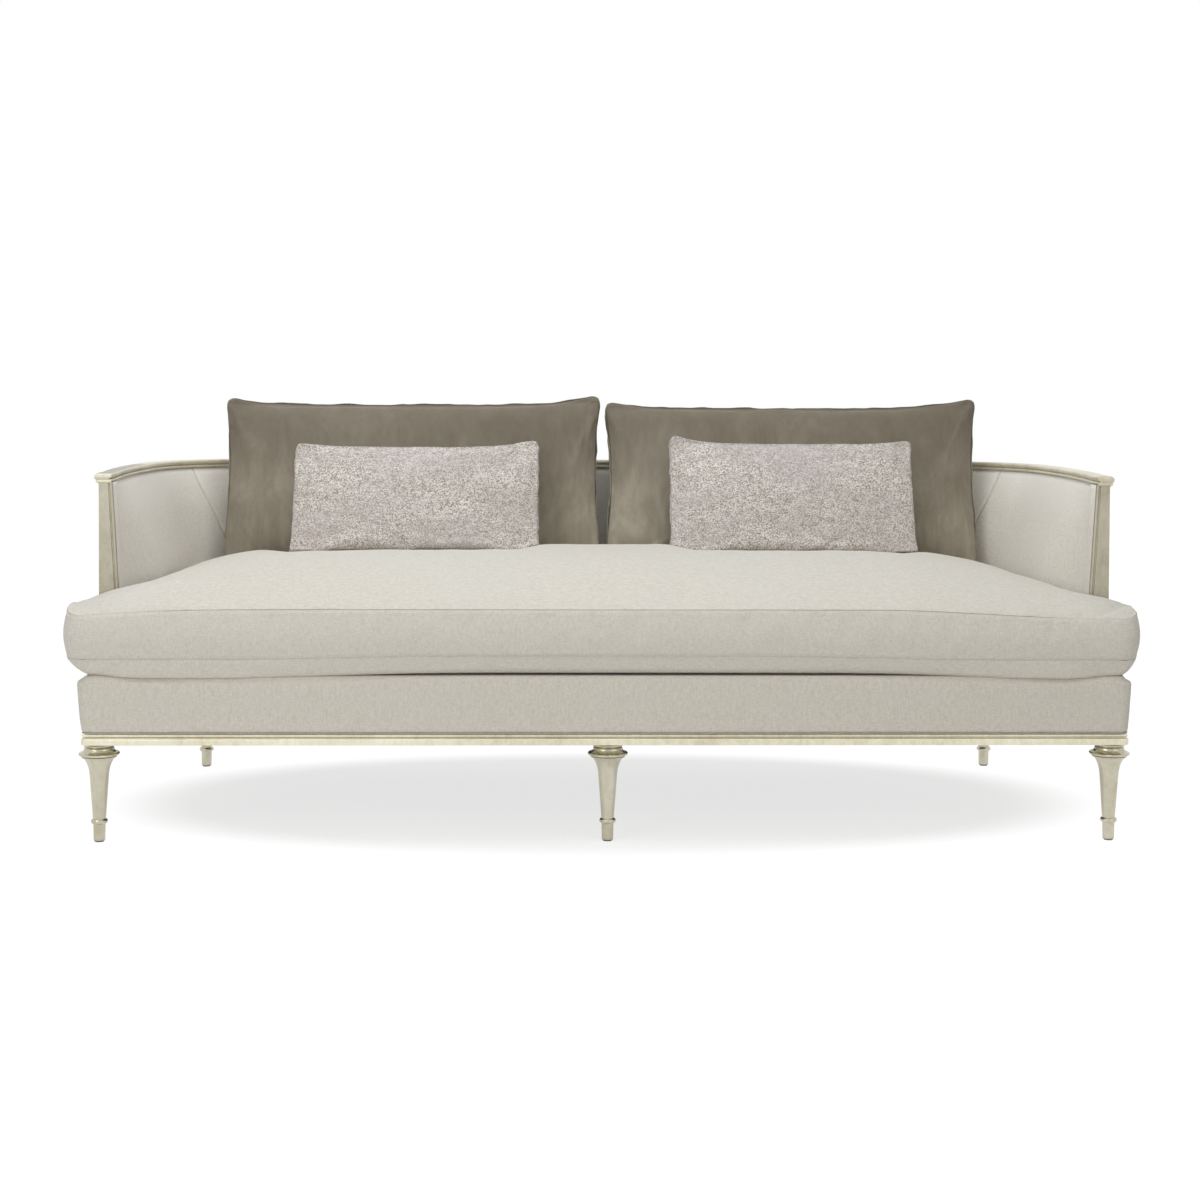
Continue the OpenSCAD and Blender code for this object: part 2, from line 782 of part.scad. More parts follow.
module webbing_long() {
    color(dark) for (i = [-web_half_count:web_half_count])
        translate([i * web_pitch_x - web_w / 2, web_front_y, web_z])
            cube([web_w, web_back_y - web_front_y, web_t]);
}

module webbing_cross() {
    color(dark) for (i = [0:cross_count - 1]) {
        y = cross_first_y + i * web_pitch_y;
        translate([-cross_half(y), y - web_w / 2, cross_z]) cube([2 * cross_half(y), web_w, web_t]);
    }
}

// Plan of the frame at a distance outwards from its face, one half from front to back
function half_plan(u) = concat(
    [[post_half + u, front_y - u]],
    [for (i = [0:8]) plan_at(arm_station(mix(arm_a0, arm_a1, i / 8)), u)],
    [for (i = [1:12]) plan_at(corner_station(mix(arm_a1, 90, i / 12)), u)]
);
function whole_plan(half) = concat(half, backwards([for (p = half) [-p[0], p[1]]]));

module dust_cover() {
    color(dark) translate([0, 0, rail_z - dust_t - pad_clear / 2]) linear_extrude(dust_t)
        polygon(whole_plan(half_plan(-plinth_in - pad_clear)));
}

// Thickness of the inside wall from the frame's outer face, at a height and a distance behind the post
function post_w(z) = mix(post_w_foot, post_w_top, (z - seat_rail_top) / post_h);
function full_pad(z) = pad_top_t + (pad_seat_t - pad_top_t)
    * sin(90 * min(1, (top_rail_z - z) / (top_rail_z - pad_full_z)));
function pad(s, z) = mix(max(post_w(z) - pad_tuck, stud_t + 1), full_pad(z), unit_step(s / pad_swell_l));

arm_steps = 12;
function arm_angle(i) = mix(arm_a0, arm_a1, i / arm_steps);
function arm_reach(i) = arm_len * i / arm_steps;

// Gap round the deck pad, beside the posts and the inside walls
deck_gap = 1;

module deck_pad() {
    inner = [for (i = [0:arm_steps])
        plan_at(arm_station(arm_angle(i)), -pad(arm_reach(i), deck_z) - deck_gap)];
    bend = [for (i = [1:10]) plan_at(corner_station(mix(arm_a1, 90, i / 10)), -pad_seat_t - deck_gap)];
    corner = arc(post_half - front_corner_r, front_y + front_corner_r, front_corner_r - pad_clear, -90, 0, 4);
    post_inner = post_half - post_w_foot - deck_gap;
    half = concat(
        corner,
        [[post_half - pad_clear, post_front_y - deck_gap], [post_inner, post_front_y - deck_gap]],
        [[post_inner, post_back_y]],
        inner, bend
    );
    color(linen) translate([0, 0, deck_z]) linear_extrude(deck_t) polygon(whole_plan(half));
}

// A closed skin through rings of points, which run clockwise seen along the row of rings
module skin(rings) {
    n = len(rings);
    m = len(rings[0]);
    polyhedron(
        points = [for (r = rings) each r],
        faces = concat(
            [[for (k = [0:m - 1]) k]],
            [[for (k = [m - 1:-1:0]) (n - 1) * m + k]],
            [for (i = [0:n - 2]) for (k = [0:m - 1]) let (j = (k + 1) % m)
                each [[i * m + k, (i + 1) * m + k, (i + 1) * m + j], [i * m + k, (i + 1) * m + j, i * m + j]]]
        )
    );
}

// Apron: padded front and returns, thicker near the top, with rounded corners
apron_foot = rail_z + pad_clear;
apron_mid_u = apron_t + apron_swell;
apron_section = concat(
    [[apron_t, apron_foot], [pad_clear, apron_foot], [pad_clear, deck_top]],
    arc(apron_mid_u - apron_edge_r, deck_top - apron_edge_r, apron_edge_r, 90, 0, 4),
    [for (f = [0.7, 0.45, 0.2]) [apron_t + apron_swell * sin(90 * f), mix(apron_foot, deck_top, f)]]
);
corner_turn = [for (i = [0:6]) -90 + 15 * i];
apron_right = concat(
    [for (a = corner_turn) [post_half - front_corner_r + front_corner_r * cos(a),
        front_y + front_corner_r + front_corner_r * sin(a), cos(a), sin(a)]],
    [[post_half, post_back_y - pad_clear / cos(arm_a0), 1, tan(arm_a0)]]
);
apron_stations = concat(backwards([for (s = apron_right) mirrored(s)]), apron_right);

module apron() {
    color(linen) skin([for (s = apron_stations) [for (p = apron_section) at(s, p[0], p[1])]]);
}

// The bend round the corner is a hair slimmer and starts inside the arm's panel
bend_slim = 0.1;
bend_lap_angle = 0.5;

module outside_profile(slim = 0) {
    wall_profile(pad_clear / 2 + slim, outside_t - slim, rail_z + pad_clear + slim, lip_z - pad_clear - slim);
}

module outside_arm() {
    color(linen) {
        arm_run() outside_profile();
        corner_run(arm_a1 - bend_lap_angle) outside_profile(bend_slim);
    }
}

module outside_back() {
    color(linen) back_run(-corner_cx + pad_clear, corner_cx - pad_clear) outside_profile();
}

// Inside padding: thin under the rail, full at the seat, and swelling behind the post
pad_foot = deck_z;
pad_head = top_rail_z - pad_clear;
pad_levels = concat(
    [pad_foot, mix(pad_foot, pad_full_z, 0.5), pad_full_z],
    [for (f = [0.2, 0.4, 0.6, 0.8, 0.92, 1]) mix(pad_full_z, pad_head, f)]
);
function pad_ring(s, reach) = concat(
    [at(s, -stud_t - pad_clear, pad_foot)],
    [for (z = pad_levels) at(s, -pad(reach, z), z)],
    [at(s, -stud_t - pad_clear, pad_head)]
);
seam_gap_angle = 0.25;

module inside_arm() {
    color(linen) skin(concat(
        [for (i = [0:arm_steps]) pad_ring(arm_station(arm_angle(i)), arm_reach(i))],
        [for (i = [1:6]) pad_ring(corner_station(mix(arm_a1, seam_angle - seam_gap_angle, i / 6)), arm_len)]
    ));
}

module inside_back() {
    bend = [for (i = [0:6]) pad_ring(corner_station(mix(seam_angle + seam_gap_angle, 90, i / 6)), arm_len)];
    flat = [for (i = [1:7]) pad_ring(back_station(mix(corner_cx, -corner_cx, i / 8)), arm_len)];
    color(linen) skin(concat(
        bend, flat, [for (r = backwards(bend)) [for (p = r) [-p[0], p[1], p[2]]]]
    ));
}

// Half width between the posts or the inside walls at the seat's height, less a distance from them.
// Behind the narrowest place of the arms it stays at most that wide, so that the cushion slides out.
wall_z = seam_low_z - boxing_bulge;
narrow_y = post_back_y + pad_swell_l;
function arm_wall_x(y, off) =
    let (
        s = max(0, (y - post_back_y) / (corner_cy - post_back_y) * arm_len),
        r = arm_r - pad(s, wall_z) - off
    )
    arm_cx + sqrt(pow(r, 2) - pow(y - bow_y, 2));
function wall_x(y, off) =
    let (beside_post = post_half - post_w(wall_z) - off, bend_r = corner_r - pad_seat_t - off)
    y <= post_back_y ? beside_post
        : y < corner_cy ? min(beside_post, arm_wall_x(y, off), arm_wall_x(min(y, narrow_y), off))
        : corner_cx + sqrt(max(0, pow(bend_r, 2) - pow(y - corner_cy, 2)));

// Rows of the seat cushion's seam: a place in Y and the half width there
lobe_in = lobe_corner_r;
body_steps = 12;
lobe_back_r = 14;
body_step_in = 3;
body_front_y = lobe_back_y + body_step_in;
seat_rows = concat(
    [for (a = [0, 25, 50, 90]) [seam_front_y + lobe_in * (1 - cos(a)), lobe_half - lobe_in * (1 - sin(a))]],
    [[mix(seam_front_y + lobe_in, lobe_back_y, 0.6), lobe_half]],
    [for (a = [0, 50, 90]) [lobe_back_y - lobe_back_r * cos(a), lobe_half - lobe_back_r * pow(sin(a), 2)]],
    [[body_front_y - body_step_in / 2, wall_x(body_front_y, wall_clear)]],
    [for (i = [1:body_steps]) let (y = mix(body_front_y, seam_back_y, sin(90 * i / body_steps)))
        [y, wall_x(y, wall_clear)]]
);

// Fall of the seams towards the lobes
function fall(x) = seam_fall * pow(abs(x) / lobe_half, 3);

// Top of the seat cushion: the crown falls to the seams at the front, the back and the sides
function crown_half(y) = mix(lobe_half, wall_x(y, wall_clear),
    unit_step((y - seam_front_y) / (post_back_y - seam_front_y) - 0.3)) + crown_spread;
function seat_z(x, y) =
    let (
        ty = min(1, abs(y - seat_mid_y) / seat_half_d),
        tx = min(1, abs(x) / crown_half(y))
    )
    seam_top_z - fall(x) + seat_crown * (1 - pow(ty, 3)) * (1 - pow(tx, 7));

// A closed cushion between two grids of points, with a bulging strip round the edge.
// normal_up is true for a cushion that lies flat and false for one that stands.
module soft_block(cols, rows, front, back, bulge, strips, normal_up) {
    nu = len(cols) - 1;
    nv = len(rows) - 1;
    w = nu + 1;
    face_pts = [for (r = rows) for (c = cols) front(c, r)];
    back_pts = [for (r = rows) for (c = cols) back(c, r)];
    rim = concat(
        [for (i = [0:nu - 1]) i], [for (j = [0:nv - 1]) nu + j * w],
        [for (i = [nu:-1:1]) nv * w + i], [for (j = [nv:-1:1]) j * w]
    );
    nb = len(rim);
    mids = [for (b = rim) (face_pts[b] + back_pts[b]) / 2];
    outs = [for (b = [0:nb - 1])
        let (
            d = mids[(b + 1) % nb] - mids[(b + nb - 1) % nb],
            v = normal_up ? [d[1], -d[0], 0] : [d[2], 0, -d[0]]
        )
        v / norm(v)];
    fullest = sin(180 * floor((strips + 1) / 2) / (strips + 1));
    strip_pts = [for (k = [1:strips]) for (b = [0:nb - 1])
        mix(face_pts[rim[b]], back_pts[rim[b]], k / (strips + 1))
            + outs[b] * bulge * sin(180 * k / (strips + 1)) / fullest];
    nf = len(face_pts);
    function ring(k, b) = let (c = b % nb)
        k == 0 ? rim[c] : k > strips ? nf + rim[c] : 2 * nf + (k - 1) * nb + c;
    polyhedron(
        points = concat(face_pts, back_pts, strip_pts),
        faces = concat(
            [for (j = [0:nv - 1]) for (i = [0:nu - 1]) let (a = j * w + i)
                each [[a, a + w, a + w + 1], [a, a + w + 1, a + 1]]],
            [for (j = [0:nv - 1]) for (i = [0:nu - 1]) let (a = nf + j * w + i)
                each [[a, a + w + 1, a + w], [a, a + 1, a + w + 1]]],
            [for (k = [0:strips]) for (b = [0:nb - 1])
                each [[ring(k, b), ring(k, b + 1), ring(k + 1, b + 1)],
                    [ring(k, b), ring(k + 1, b + 1), ring(k + 1, b)]]]
        )
    );
}

// Places from -1 to 1 that lie closer together near the ends
function spread(n) = [for (i = [0:n]) sin(90 * (2 * i / n - 1))];

module seat_cushion() {
    front = function (s, row) [s * row[1], row[0], seat_z(s * row[1], row[0])];
    back = function (s, row)
        let (
            inset = min((1 - abs(s)) * row[1], seat_half_d - abs(row[0] - seat_mid_y)),
            rise = pow(max(0, 1 - inset / under_roll), 2)
        )
        [s * row[1], row[0], seat_low_z + (seam_low_z - fall(s * row[1]) - seat_low_z) * rise];
    color(linen) soft_block(spread(22), seat_rows, front, back, boxing_bulge, 2, true);
}

// Half thickness of a pillow at a place on its face
function plump(s, t, edge, middle) =
    edge + (middle - edge) * pow(max(0, (1 - pow(abs(s), 2.6)) * (1 - pow(abs(t), 2.6))), 0.6);

// A point on a standing cushion, which never reaches below the crowned seat
function over_seat(p) = [p[0], p[1], max(p[2], seat_z(p[0], p[1]) + crown_clear)];
function lean_point(x, foot, head, lean, tau, thick) =
    let (y = mix(foot[0], head[0], tau), z = mix(foot[1], head[1], tau))
    over_seat([x, y + thick * cos(lean), z - thick * sin(lean)]);

// How far the sewn edges bulge
back_bulge = 6;
pillow_bulge = 3;

// How far a place near a corner is drawn towards the middle
function corner_pull(s, t) = corner_in * pow(abs(s * t), 10);

function back_point(side, s, t, face) =
    let (
        half_w = back_w / 2 - back_pull * (1 - t * t) - corner_pull(s, t),
        head_z = back_top_z - back_sag * (1 - s * s) - corner_pull(s, t),
        thick = face * plump(s, t, back_edge_t, back_half_t)
    )
    lean_point(loose_shift + side * (back_gap + back_w) / 2 + s * half_w,
        [back_foot_y, back_foot_z], [back_head_y, head_z], back_lean, (t + 1) / 2, thick);

// A cushion stands left of the middle for a side of -1, and right of it for a side of 1
module back_cushion(side) {
    front = function (s, t) back_point(side, s, t, -1);
    back = function (s, t) back_point(side, s, t, 1);
    color(taupe) soft_block(spread(16), spread(10), front, back, back_bulge, 2, false);
}

function pillow_point(side, s, t, face) =
    let (
        half_w = pillow_w / 2 - corner_pull(s, t),
        head_z = pillow_top_z - pillow_sag * (1 - s * s) - corner_pull(s, t),
        thick = face * plump(s, t, pillow_edge_t, pillow_half_t)
    )
    lean_point(loose_shift + side * pillow_x + s * half_w,
        [pillow_foot_y, pillow_foot_z], [pillow_head_y, head_z], pillow_lean, (t + 1) / 2, thick);

module lumbar_pillow(side) {
    front = function (s, t) pillow_point(side, s, t, -1);
    back = function (s, t) pillow_point(side, s, t, 1);
    color(heather) soft_block(spread(14), spread(8), front, back, pillow_bulge, 2, false);
}

plinth_front();
left() plinth_side();  // plinth_side_left
plinth_side();  // plinth_side_right
left() plinth_corner();  // plinth_corner_left
plinth_corner();  // plinth_corner_right
plinth_back();
leg(leg_places[0]);  // leg_front_left
leg(leg_places[1]);  // leg_front_centre
leg(leg_places[2]);  // leg_front_right
leg(leg_places[3]);  // leg_rear_left
leg(leg_places[4]);  // leg_rear_right
left() post();  // post_left
post();  // post_right
left() top_rail_arm();  // top_rail_arm_left
top_rail_arm();  // top_rail_arm_right
left() top_rail_corner();  // top_rail_corner_left
top_rail_corner();  // top_rail_corner_right
top_rail_back();
seat_rail_front();
left() seat_rail_side();  // seat_rail_left
seat_rail_side();  // seat_rail_right
left() seat_rail_corner();  // seat_rail_corner_left
seat_rail_corner();  // seat_rail_corner_right
seat_rail_back();
stretchers();
corner_blocks();
left() arm_studs();  // arm_studs_left
arm_studs();  // arm_studs_right
back_studs();
rail_dowels();
hanger_bolts();
block_screws();
leg_glides();
webbing_long();
webbing_cross();
deck_pad();
dust_cover();
apron();
left() outside_arm();  // outside_arm_left
outside_arm();  // outside_arm_right
outside_back();
left() inside_arm();  // inside_arm_left
inside_arm();  // inside_arm_right
inside_back();
seat_cushion();
back_cushion(-1);  // back_cushion_left
back_cushion(1);  // back_cushion_right
lumbar_pillow(-1);  // lumbar_pillow_left
lumbar_pillow(1);  // lumbar_pillow_right
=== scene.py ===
# %% [markdown]
# A tub sofa. The wood frame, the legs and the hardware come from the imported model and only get
# finishes here. Everything stuffed or sewn is built in this file, on top of that model, in metres.

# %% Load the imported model
import json
import math

import bmesh
import bpy
from mathutils import Matrix, Vector, noise


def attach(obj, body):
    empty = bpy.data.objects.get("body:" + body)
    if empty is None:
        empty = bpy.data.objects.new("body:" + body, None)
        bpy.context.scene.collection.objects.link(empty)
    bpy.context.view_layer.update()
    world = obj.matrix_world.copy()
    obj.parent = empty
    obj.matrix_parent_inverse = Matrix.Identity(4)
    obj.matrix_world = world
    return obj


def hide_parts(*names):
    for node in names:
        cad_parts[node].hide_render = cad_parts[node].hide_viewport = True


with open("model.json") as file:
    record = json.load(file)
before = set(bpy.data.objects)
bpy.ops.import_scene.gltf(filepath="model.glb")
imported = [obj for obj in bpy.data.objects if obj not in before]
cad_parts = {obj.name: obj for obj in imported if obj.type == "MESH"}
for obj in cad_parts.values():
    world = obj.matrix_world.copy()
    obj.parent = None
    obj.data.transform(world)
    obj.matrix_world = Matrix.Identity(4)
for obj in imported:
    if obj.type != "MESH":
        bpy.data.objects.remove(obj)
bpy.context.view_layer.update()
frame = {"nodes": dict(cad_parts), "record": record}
nodes = frame["nodes"]

# %% [markdown]
# The camera stands where the photographer stood: a little above the cushions, 4.5 m in front of
# the sofa's middle and a little to the left. It is tilted down by less than two degrees, so that
# the uprights stay upright, and the rest of the drop is made by shifting the lens.

# %% Camera
SPOT = Vector((-0.1342, -4.5053, 0.9526))
YAW, PITCH, ROLL = (math.radians(a) for a in (1.6079, 1.6728, 0.2619))
SENSOR, LENS, LENS_SHIFT = 36, 59.315, -0.1326

level, tilt_cos, tilt_sin = math.cos(PITCH), math.cos(ROLL), math.sin(ROLL)
cam_ahead = Vector((math.sin(YAW) * level, math.cos(YAW) * level, -math.sin(PITCH)))
right = Vector((math.cos(YAW), -math.sin(YAW), 0))
up = right.cross(cam_ahead)
cam_right, cam_up = right * tilt_cos + up * tilt_sin, up * tilt_cos - right * tilt_sin
camera = bpy.data.objects.new("camera", bpy.data.cameras.new("camera"))
bpy.context.scene.collection.objects.link(camera)
turned = Matrix((cam_right, cam_up, -cam_ahead)).transposed().to_4x4()
camera.matrix_world = Matrix.Translation(SPOT) @ turned
camera.data.sensor_width = SENSOR
camera.data.lens = LENS
camera.data.shift_y = LENS_SHIFT
camera.data.clip_end = 60
bpy.context.scene.camera = camera


def picture_point(p, size=1200):
    """Where a point falls in the picture, in pixels from its top left corner."""
    d = Vector(p) - SPOT
    f = LENS / SENSOR * size
    x = size / 2 + f * d.dot(cam_right) / d.dot(cam_ahead)
    y = size / 2 + LENS_SHIFT * size - f * d.dot(cam_up) / d.dot(cam_ahead)
    return round(x, 1), round(y, 1)


print("feet at", picture_point((-1.052, -0.411, 0)), picture_point((1.052, -0.411, 0)))

# %% [markdown]
# Every finish is a Principled shader with a few procedural nodes in front of it. These helpers add
# a node with its settings in one line, so that each finish below reads as a short recipe. All
# patterns are on Object coordinates in metres, so a scale of 400 means a detail of about 2.5 mm.

# %% Node helpers
def join(tree, source, target):
    tree.links.new(source, target)


def set_up(node, sockets):
    """Sets a node's sockets by name, with an underscore for each space."""
    for key, value in sockets.items():
        node.inputs[key.replace("_", " ")].default_value = value
    return node


def add(tree, kind, **sockets):
    return set_up(tree.nodes.new("ShaderNode" + kind), sockets)


def finish(name, colour, rough, **sockets):
    """A material, its node tree and its shader, with fixed numbers set on the shader itself."""
    mat = bpy.data.materials.new(name)
    mat.use_nodes = True
    shader = set_up(mat.node_tree.nodes["Principled BSDF"], sockets)
    shader.inputs["Base Color"].default_value = (*colour, 1)
    shader.inputs["Roughness"].default_value = rough
    return mat, mat.node_tree, shader


def linear(r, g, b):
    """A colour written in screen values from 11 to 255, as the shader's linear values."""
    return tuple(((c / 255 + 0.055) / 1.055) ** 2.4 for c in (r, g, b))


def place(tree, stretch=(1, 1, 1), turn=(0, 0, 0)):
    """Object coordinates. A stretch below one draws a pattern out along that axis."""
    mapping = add(tree, "Mapping", Scale=stretch, Rotation=turn)
    join(tree, add(tree, "TexCoord").outputs["Object"], mapping.inputs["Vector"])
    return mapping.outputs["Vector"]


def cloud(tree, where, scale, detail=3, rough=0.5, twist=0.0):
    n = add(tree, "TexNoise", Scale=scale, Detail=detail, Roughness=rough, Distortion=twist)
    join(tree, where, n.inputs["Vector"])
    return n.outputs["Fac"]


def thread(tree, where, axis, scale, wobble=0.0):
    n = add(tree, "TexWave", Scale=scale, Distortion=wobble, Detail=1, Detail_Scale=2)
    n.bands_direction = axis
    join(tree, where, n.inputs["Vector"])
    return n.outputs["Fac"]


def feed(tree, value, socket):
    """Sets a number or a colour on a socket, and joins anything else to it."""
    if isinstance(value, tuple):
        socket.default_value = (*value, 1)
    elif isinstance(value, (int, float)):
        socket.default_value = value
    else:
        join(tree, value, socket)


def maths(tree, kind, a, b=0.0, clamp=False):
    n = add(tree, "Math")
    n.operation = kind
    n.use_clamp = clamp
    for socket, value in zip(n.inputs, (a, b)):
        feed(tree, value, socket)
    return n.outputs[0]


def blend_of(tree, a, b, share):
    """Two values mixed, the first by that share."""
    first, second = maths(tree, "MULTIPLY", a, share), maths(tree, "MULTIPLY", b, 1 - share)
    return maths(tree, "ADD", first, second)


def along(tree, vector, axis):
    parts = add(tree, "SeparateXYZ")
    join(tree, vector, parts.inputs[0])
    return parts.outputs[axis]


def ramp(tree, fac, stops):
    """Colours or greys laid along a value: stops are (place, colour)."""
    n = add(tree, "ValToRGB")
    bar = n.color_ramp.elements
    while len(bar) < len(stops):
        bar.new(0.5)
    for mark, (where, colour) in zip(bar, stops):
        mark.position = where
        mark.color = (*colour, 1) if isinstance(colour, tuple) else (colour, colour, colour, 1)
    join(tree, fac, n.inputs["Fac"])
    return n.outputs["Color"]


def tint(tree, fac, a, b):
    n = add(tree, "Mix")
    n.data_type = "RGBA"
    for socket, value in ((0, fac), (6, a), (7, b)):
        feed(tree, value, n.inputs[socket])
    return n.outputs[2]


def paint_seam_shade(tree, shader, colour, dark, share):
    """Paints shade into the lines that the attribute "seam" marks."""
    mark = add(tree, "Attribute")
    mark.attribute_name = "seam"
    line = maths(tree, "MULTIPLY", mark.outputs["Fac"], share)
    join(tree, tint(tree, line, colour, dark), shader.inputs["Base Color"])


def relief(tree, shader, height, depth, strength=1.0):
    n = add(tree, "Bump", Strength=strength, Distance=depth)
    join(tree, height, n.inputs["Height"])
    join(tree, n.outputs["Normal"], shader.inputs["Normal"])


def weave(tree, pitch):
    """A plain weave on any side of a piece: threads along all three axes, of that pitch."""
    where = place(tree)
    scale = math.pi / (10 * pitch)
    ups = [thread(tree, where, axis, scale, 1.2) for axis in "XYZ"]
    return maths(tree, "ADD", maths(tree, "ADD", ups[0], ups[1]), ups[2])


# %% [markdown]
# The sofa was cut out on white, with only a faint shadow left under it. The floor shows itself to
# the camera as mostly white light with a share of plain matte floor mixed in, so that the shadow
# stays weak and fades out all round, while to the sofa it is an ordinary pale floor that throws
# light back up.

# %% Floor, backdrop and light
scene = bpy.context.scene
scene.view_settings.view_transform = "Standard"
world = bpy.data.worlds.new("studio")
scene.world = world
world.use_nodes = True
WHITE = (1, 1, 1, 1)


def camera_or_gloss(tree):
    """One where the camera, a reflection or a refraction looks."""
    path = add(tree, "LightPath")
    seen = path.outputs["Is Camera Ray"]
    for ray in ("Is Glossy Ray", "Is Transmission Ray"):
        seen = maths(tree, "MAXIMUM", seen, path.outputs[ray])
    return seen


def two_ways(tree, share, unseen, seen, output):
    """Mixes two shaders by a share, the second by the full share, into the tree's output."""
    blend, out = add(tree, "MixShader"), add(tree, output)
    join(tree, share, blend.inputs[0])
    join(tree, unseen.outputs[0], blend.inputs[1])
    join(tree, seen.outputs[0], blend.inputs[2])
    join(tree, blend.outputs[0], out.inputs[0])


wt = world.node_tree
wt.nodes.clear()
sky = add(wt, "Background", Color=WHITE, Strength=1.0)
fill = add(wt, "Background", Color=(0.98, 0.99, 1, 1), Strength=0.34)
two_ways(wt, camera_or_gloss(wt), fill, sky, "OutputWorld")

bm = bmesh.new()
bmesh.ops.create_grid(bm, x_segments=8, y_segments=8, size=14)
floor = bpy.data.objects.new("floor", bpy.data.meshes.new("floor"))
bm.to_mesh(floor.data)
bm.free()
scene.collection.objects.link(floor)

paper = bpy.data.materials.new("white_floor")
paper.use_nodes = True
pt = paper.node_tree
pt.nodes.clear()
matte = add(pt, "BsdfDiffuse", Color=(0.9, 0.9, 0.9, 1))
glow = add(pt, "Emission", Color=WHITE, Strength=1.06)
reach = add(pt, "VectorMath")
reach.operation = "LENGTH"
join(pt, place(pt, (0.66, 1.30, 1)), reach.inputs[0])
fade = add(pt, "MapRange", From_Min=0.60, From_Max=0.82, To_Min=0.70, To_Max=1.0)
fade.interpolation_type = "SMOOTHSTEP"
join(pt, reach.outputs["Value"], fade.inputs["Value"])
glow_share = maths(pt, "MULTIPLY", camera_or_gloss(pt), fade.outputs["Result"])
two_ways(pt, glow_share, matte, glow, "OutputMaterial")
floor.data.materials.append(paper)


def softbox(name, spot, target, size, watts, colour):
    lamp = bpy.data.objects.new(name, bpy.data.lights.new(name, "AREA"))
    lamp.data.shape = "RECTANGLE"
    lamp.data.size, lamp.data.size_y = size
    lamp.data.energy = watts
    lamp.location = spot
    lamp.rotation_euler = (Vector(target) - Vector(spot)).to_track_quat("-Z", "Y").to_euler()
    lamp.data.color = colour
    scene.collection.objects.link(lamp)


softbox("overhead", (-0.35, -0.6, 3.1), (0, 0.0, 0.4), (3.6, 2.4), 56, (0.965, 0.985, 1.0))
softbox("front_left", (-2.6, -3.6, 1.9), (0, 0, 0.4), (2.2, 2.0), 40, (1.0, 0.985, 0.95))
softbox("front_right", (3.0, -3.4, 1.7), (0, 0, 0.4), (2.0, 2.0), 13, (1.0, 0.93, 0.76))

# %% [markdown]
# The cover cloth is a pale linen weave. Close up it is a cross of fine uneven threads, and from a
# distance only the slubs are left: short strokes a little darker or lighter than the ground. So the
# colour mixes two noises, one drawn out sideways and one upwards, and the bump carries the threads.
# Inside the arms the cloth is a lighter copy, and painted light brightens it towards the rail.

# %% Linen
def linen(name, light, dark, slub=0.5, painted_rail_light=0.0):
    mat, tree, shader = finish(name, light, 0.92, Sheen_Weight=0.18, Sheen_Roughness=0.5,
                               Specular_IOR_Level=0.25)
    rows = cloud(tree, place(tree, (0.22, 0.22, 1)), 420, 4, 0.6)
    posts = cloud(tree, place(tree, (1, 1, 0.2)), 380, 4, 0.6)
    drift = cloud(tree, place(tree), 4.5, 3)
    strokes = maths(tree, "MULTIPLY", maths(tree, "ADD", rows, posts), 0.5)
    flecks = ramp(tree, strokes, [(0.40, 0.0), (0.60, 1.0)])
    ground = tint(tree, flecks, dark, light)
    cooler = tuple(c * k for c, k in zip(light, (0.93, 0.95, 0.99)))
    mottled = tint(tree, maths(tree, "MULTIPLY", drift, slub), ground, cooler)
    # Painted light: the colour brightens towards the top, under the rail.
    if painted_rail_light:
        rim = ramp(tree, along(tree, place(tree), "Z"), [(0.64, 0.0), (0.73, painted_rail_light)])
        mottled = tint(tree, rim, mottled, linear(255, 251, 244))
    paint_seam_shade(tree, shader, mottled, linear(112, 104, 92), 0.75)
    height = maths(tree, "ADD", maths(tree, "MULTIPLY", weave(tree, 0.0016), 0.35), strokes)
    relief(tree, shader, height, 0.0006, 0.6)
    return mat


linen_seat = linen("linen_cover", linear(227, 222, 212), linear(208, 202, 189))
linen_wall = linen("linen_wall", linear(226, 220, 208), linear(205, 198, 184))
# A lighter copy of the linen, as painted light for the inside of the tub.
linen_inside_painted_light = linen("linen_inside_painted_light", linear(230, 225, 215), linear(210, 204, 191), painted_rail_light=0.4)
linen_lining = linen("linen_lining", linear(188, 182, 170), linear(160, 154, 142))

# %% [markdown]
# The back cushions are a taupe velvet. Its pile leans this way and that, so patches of it look
# lighter or darker, and it brightens where the surface turns away from the eye. Sheen on the shader
# gives the rim of light, and cloudy noise stretched upwards gives the brushed patches. Painted
# shade darkens the upper part of the cushions.

# %% Velvet
VELVET_TONES = [linear(142, 134, 118), linear(159, 151, 135), linear(179, 171, 155)]


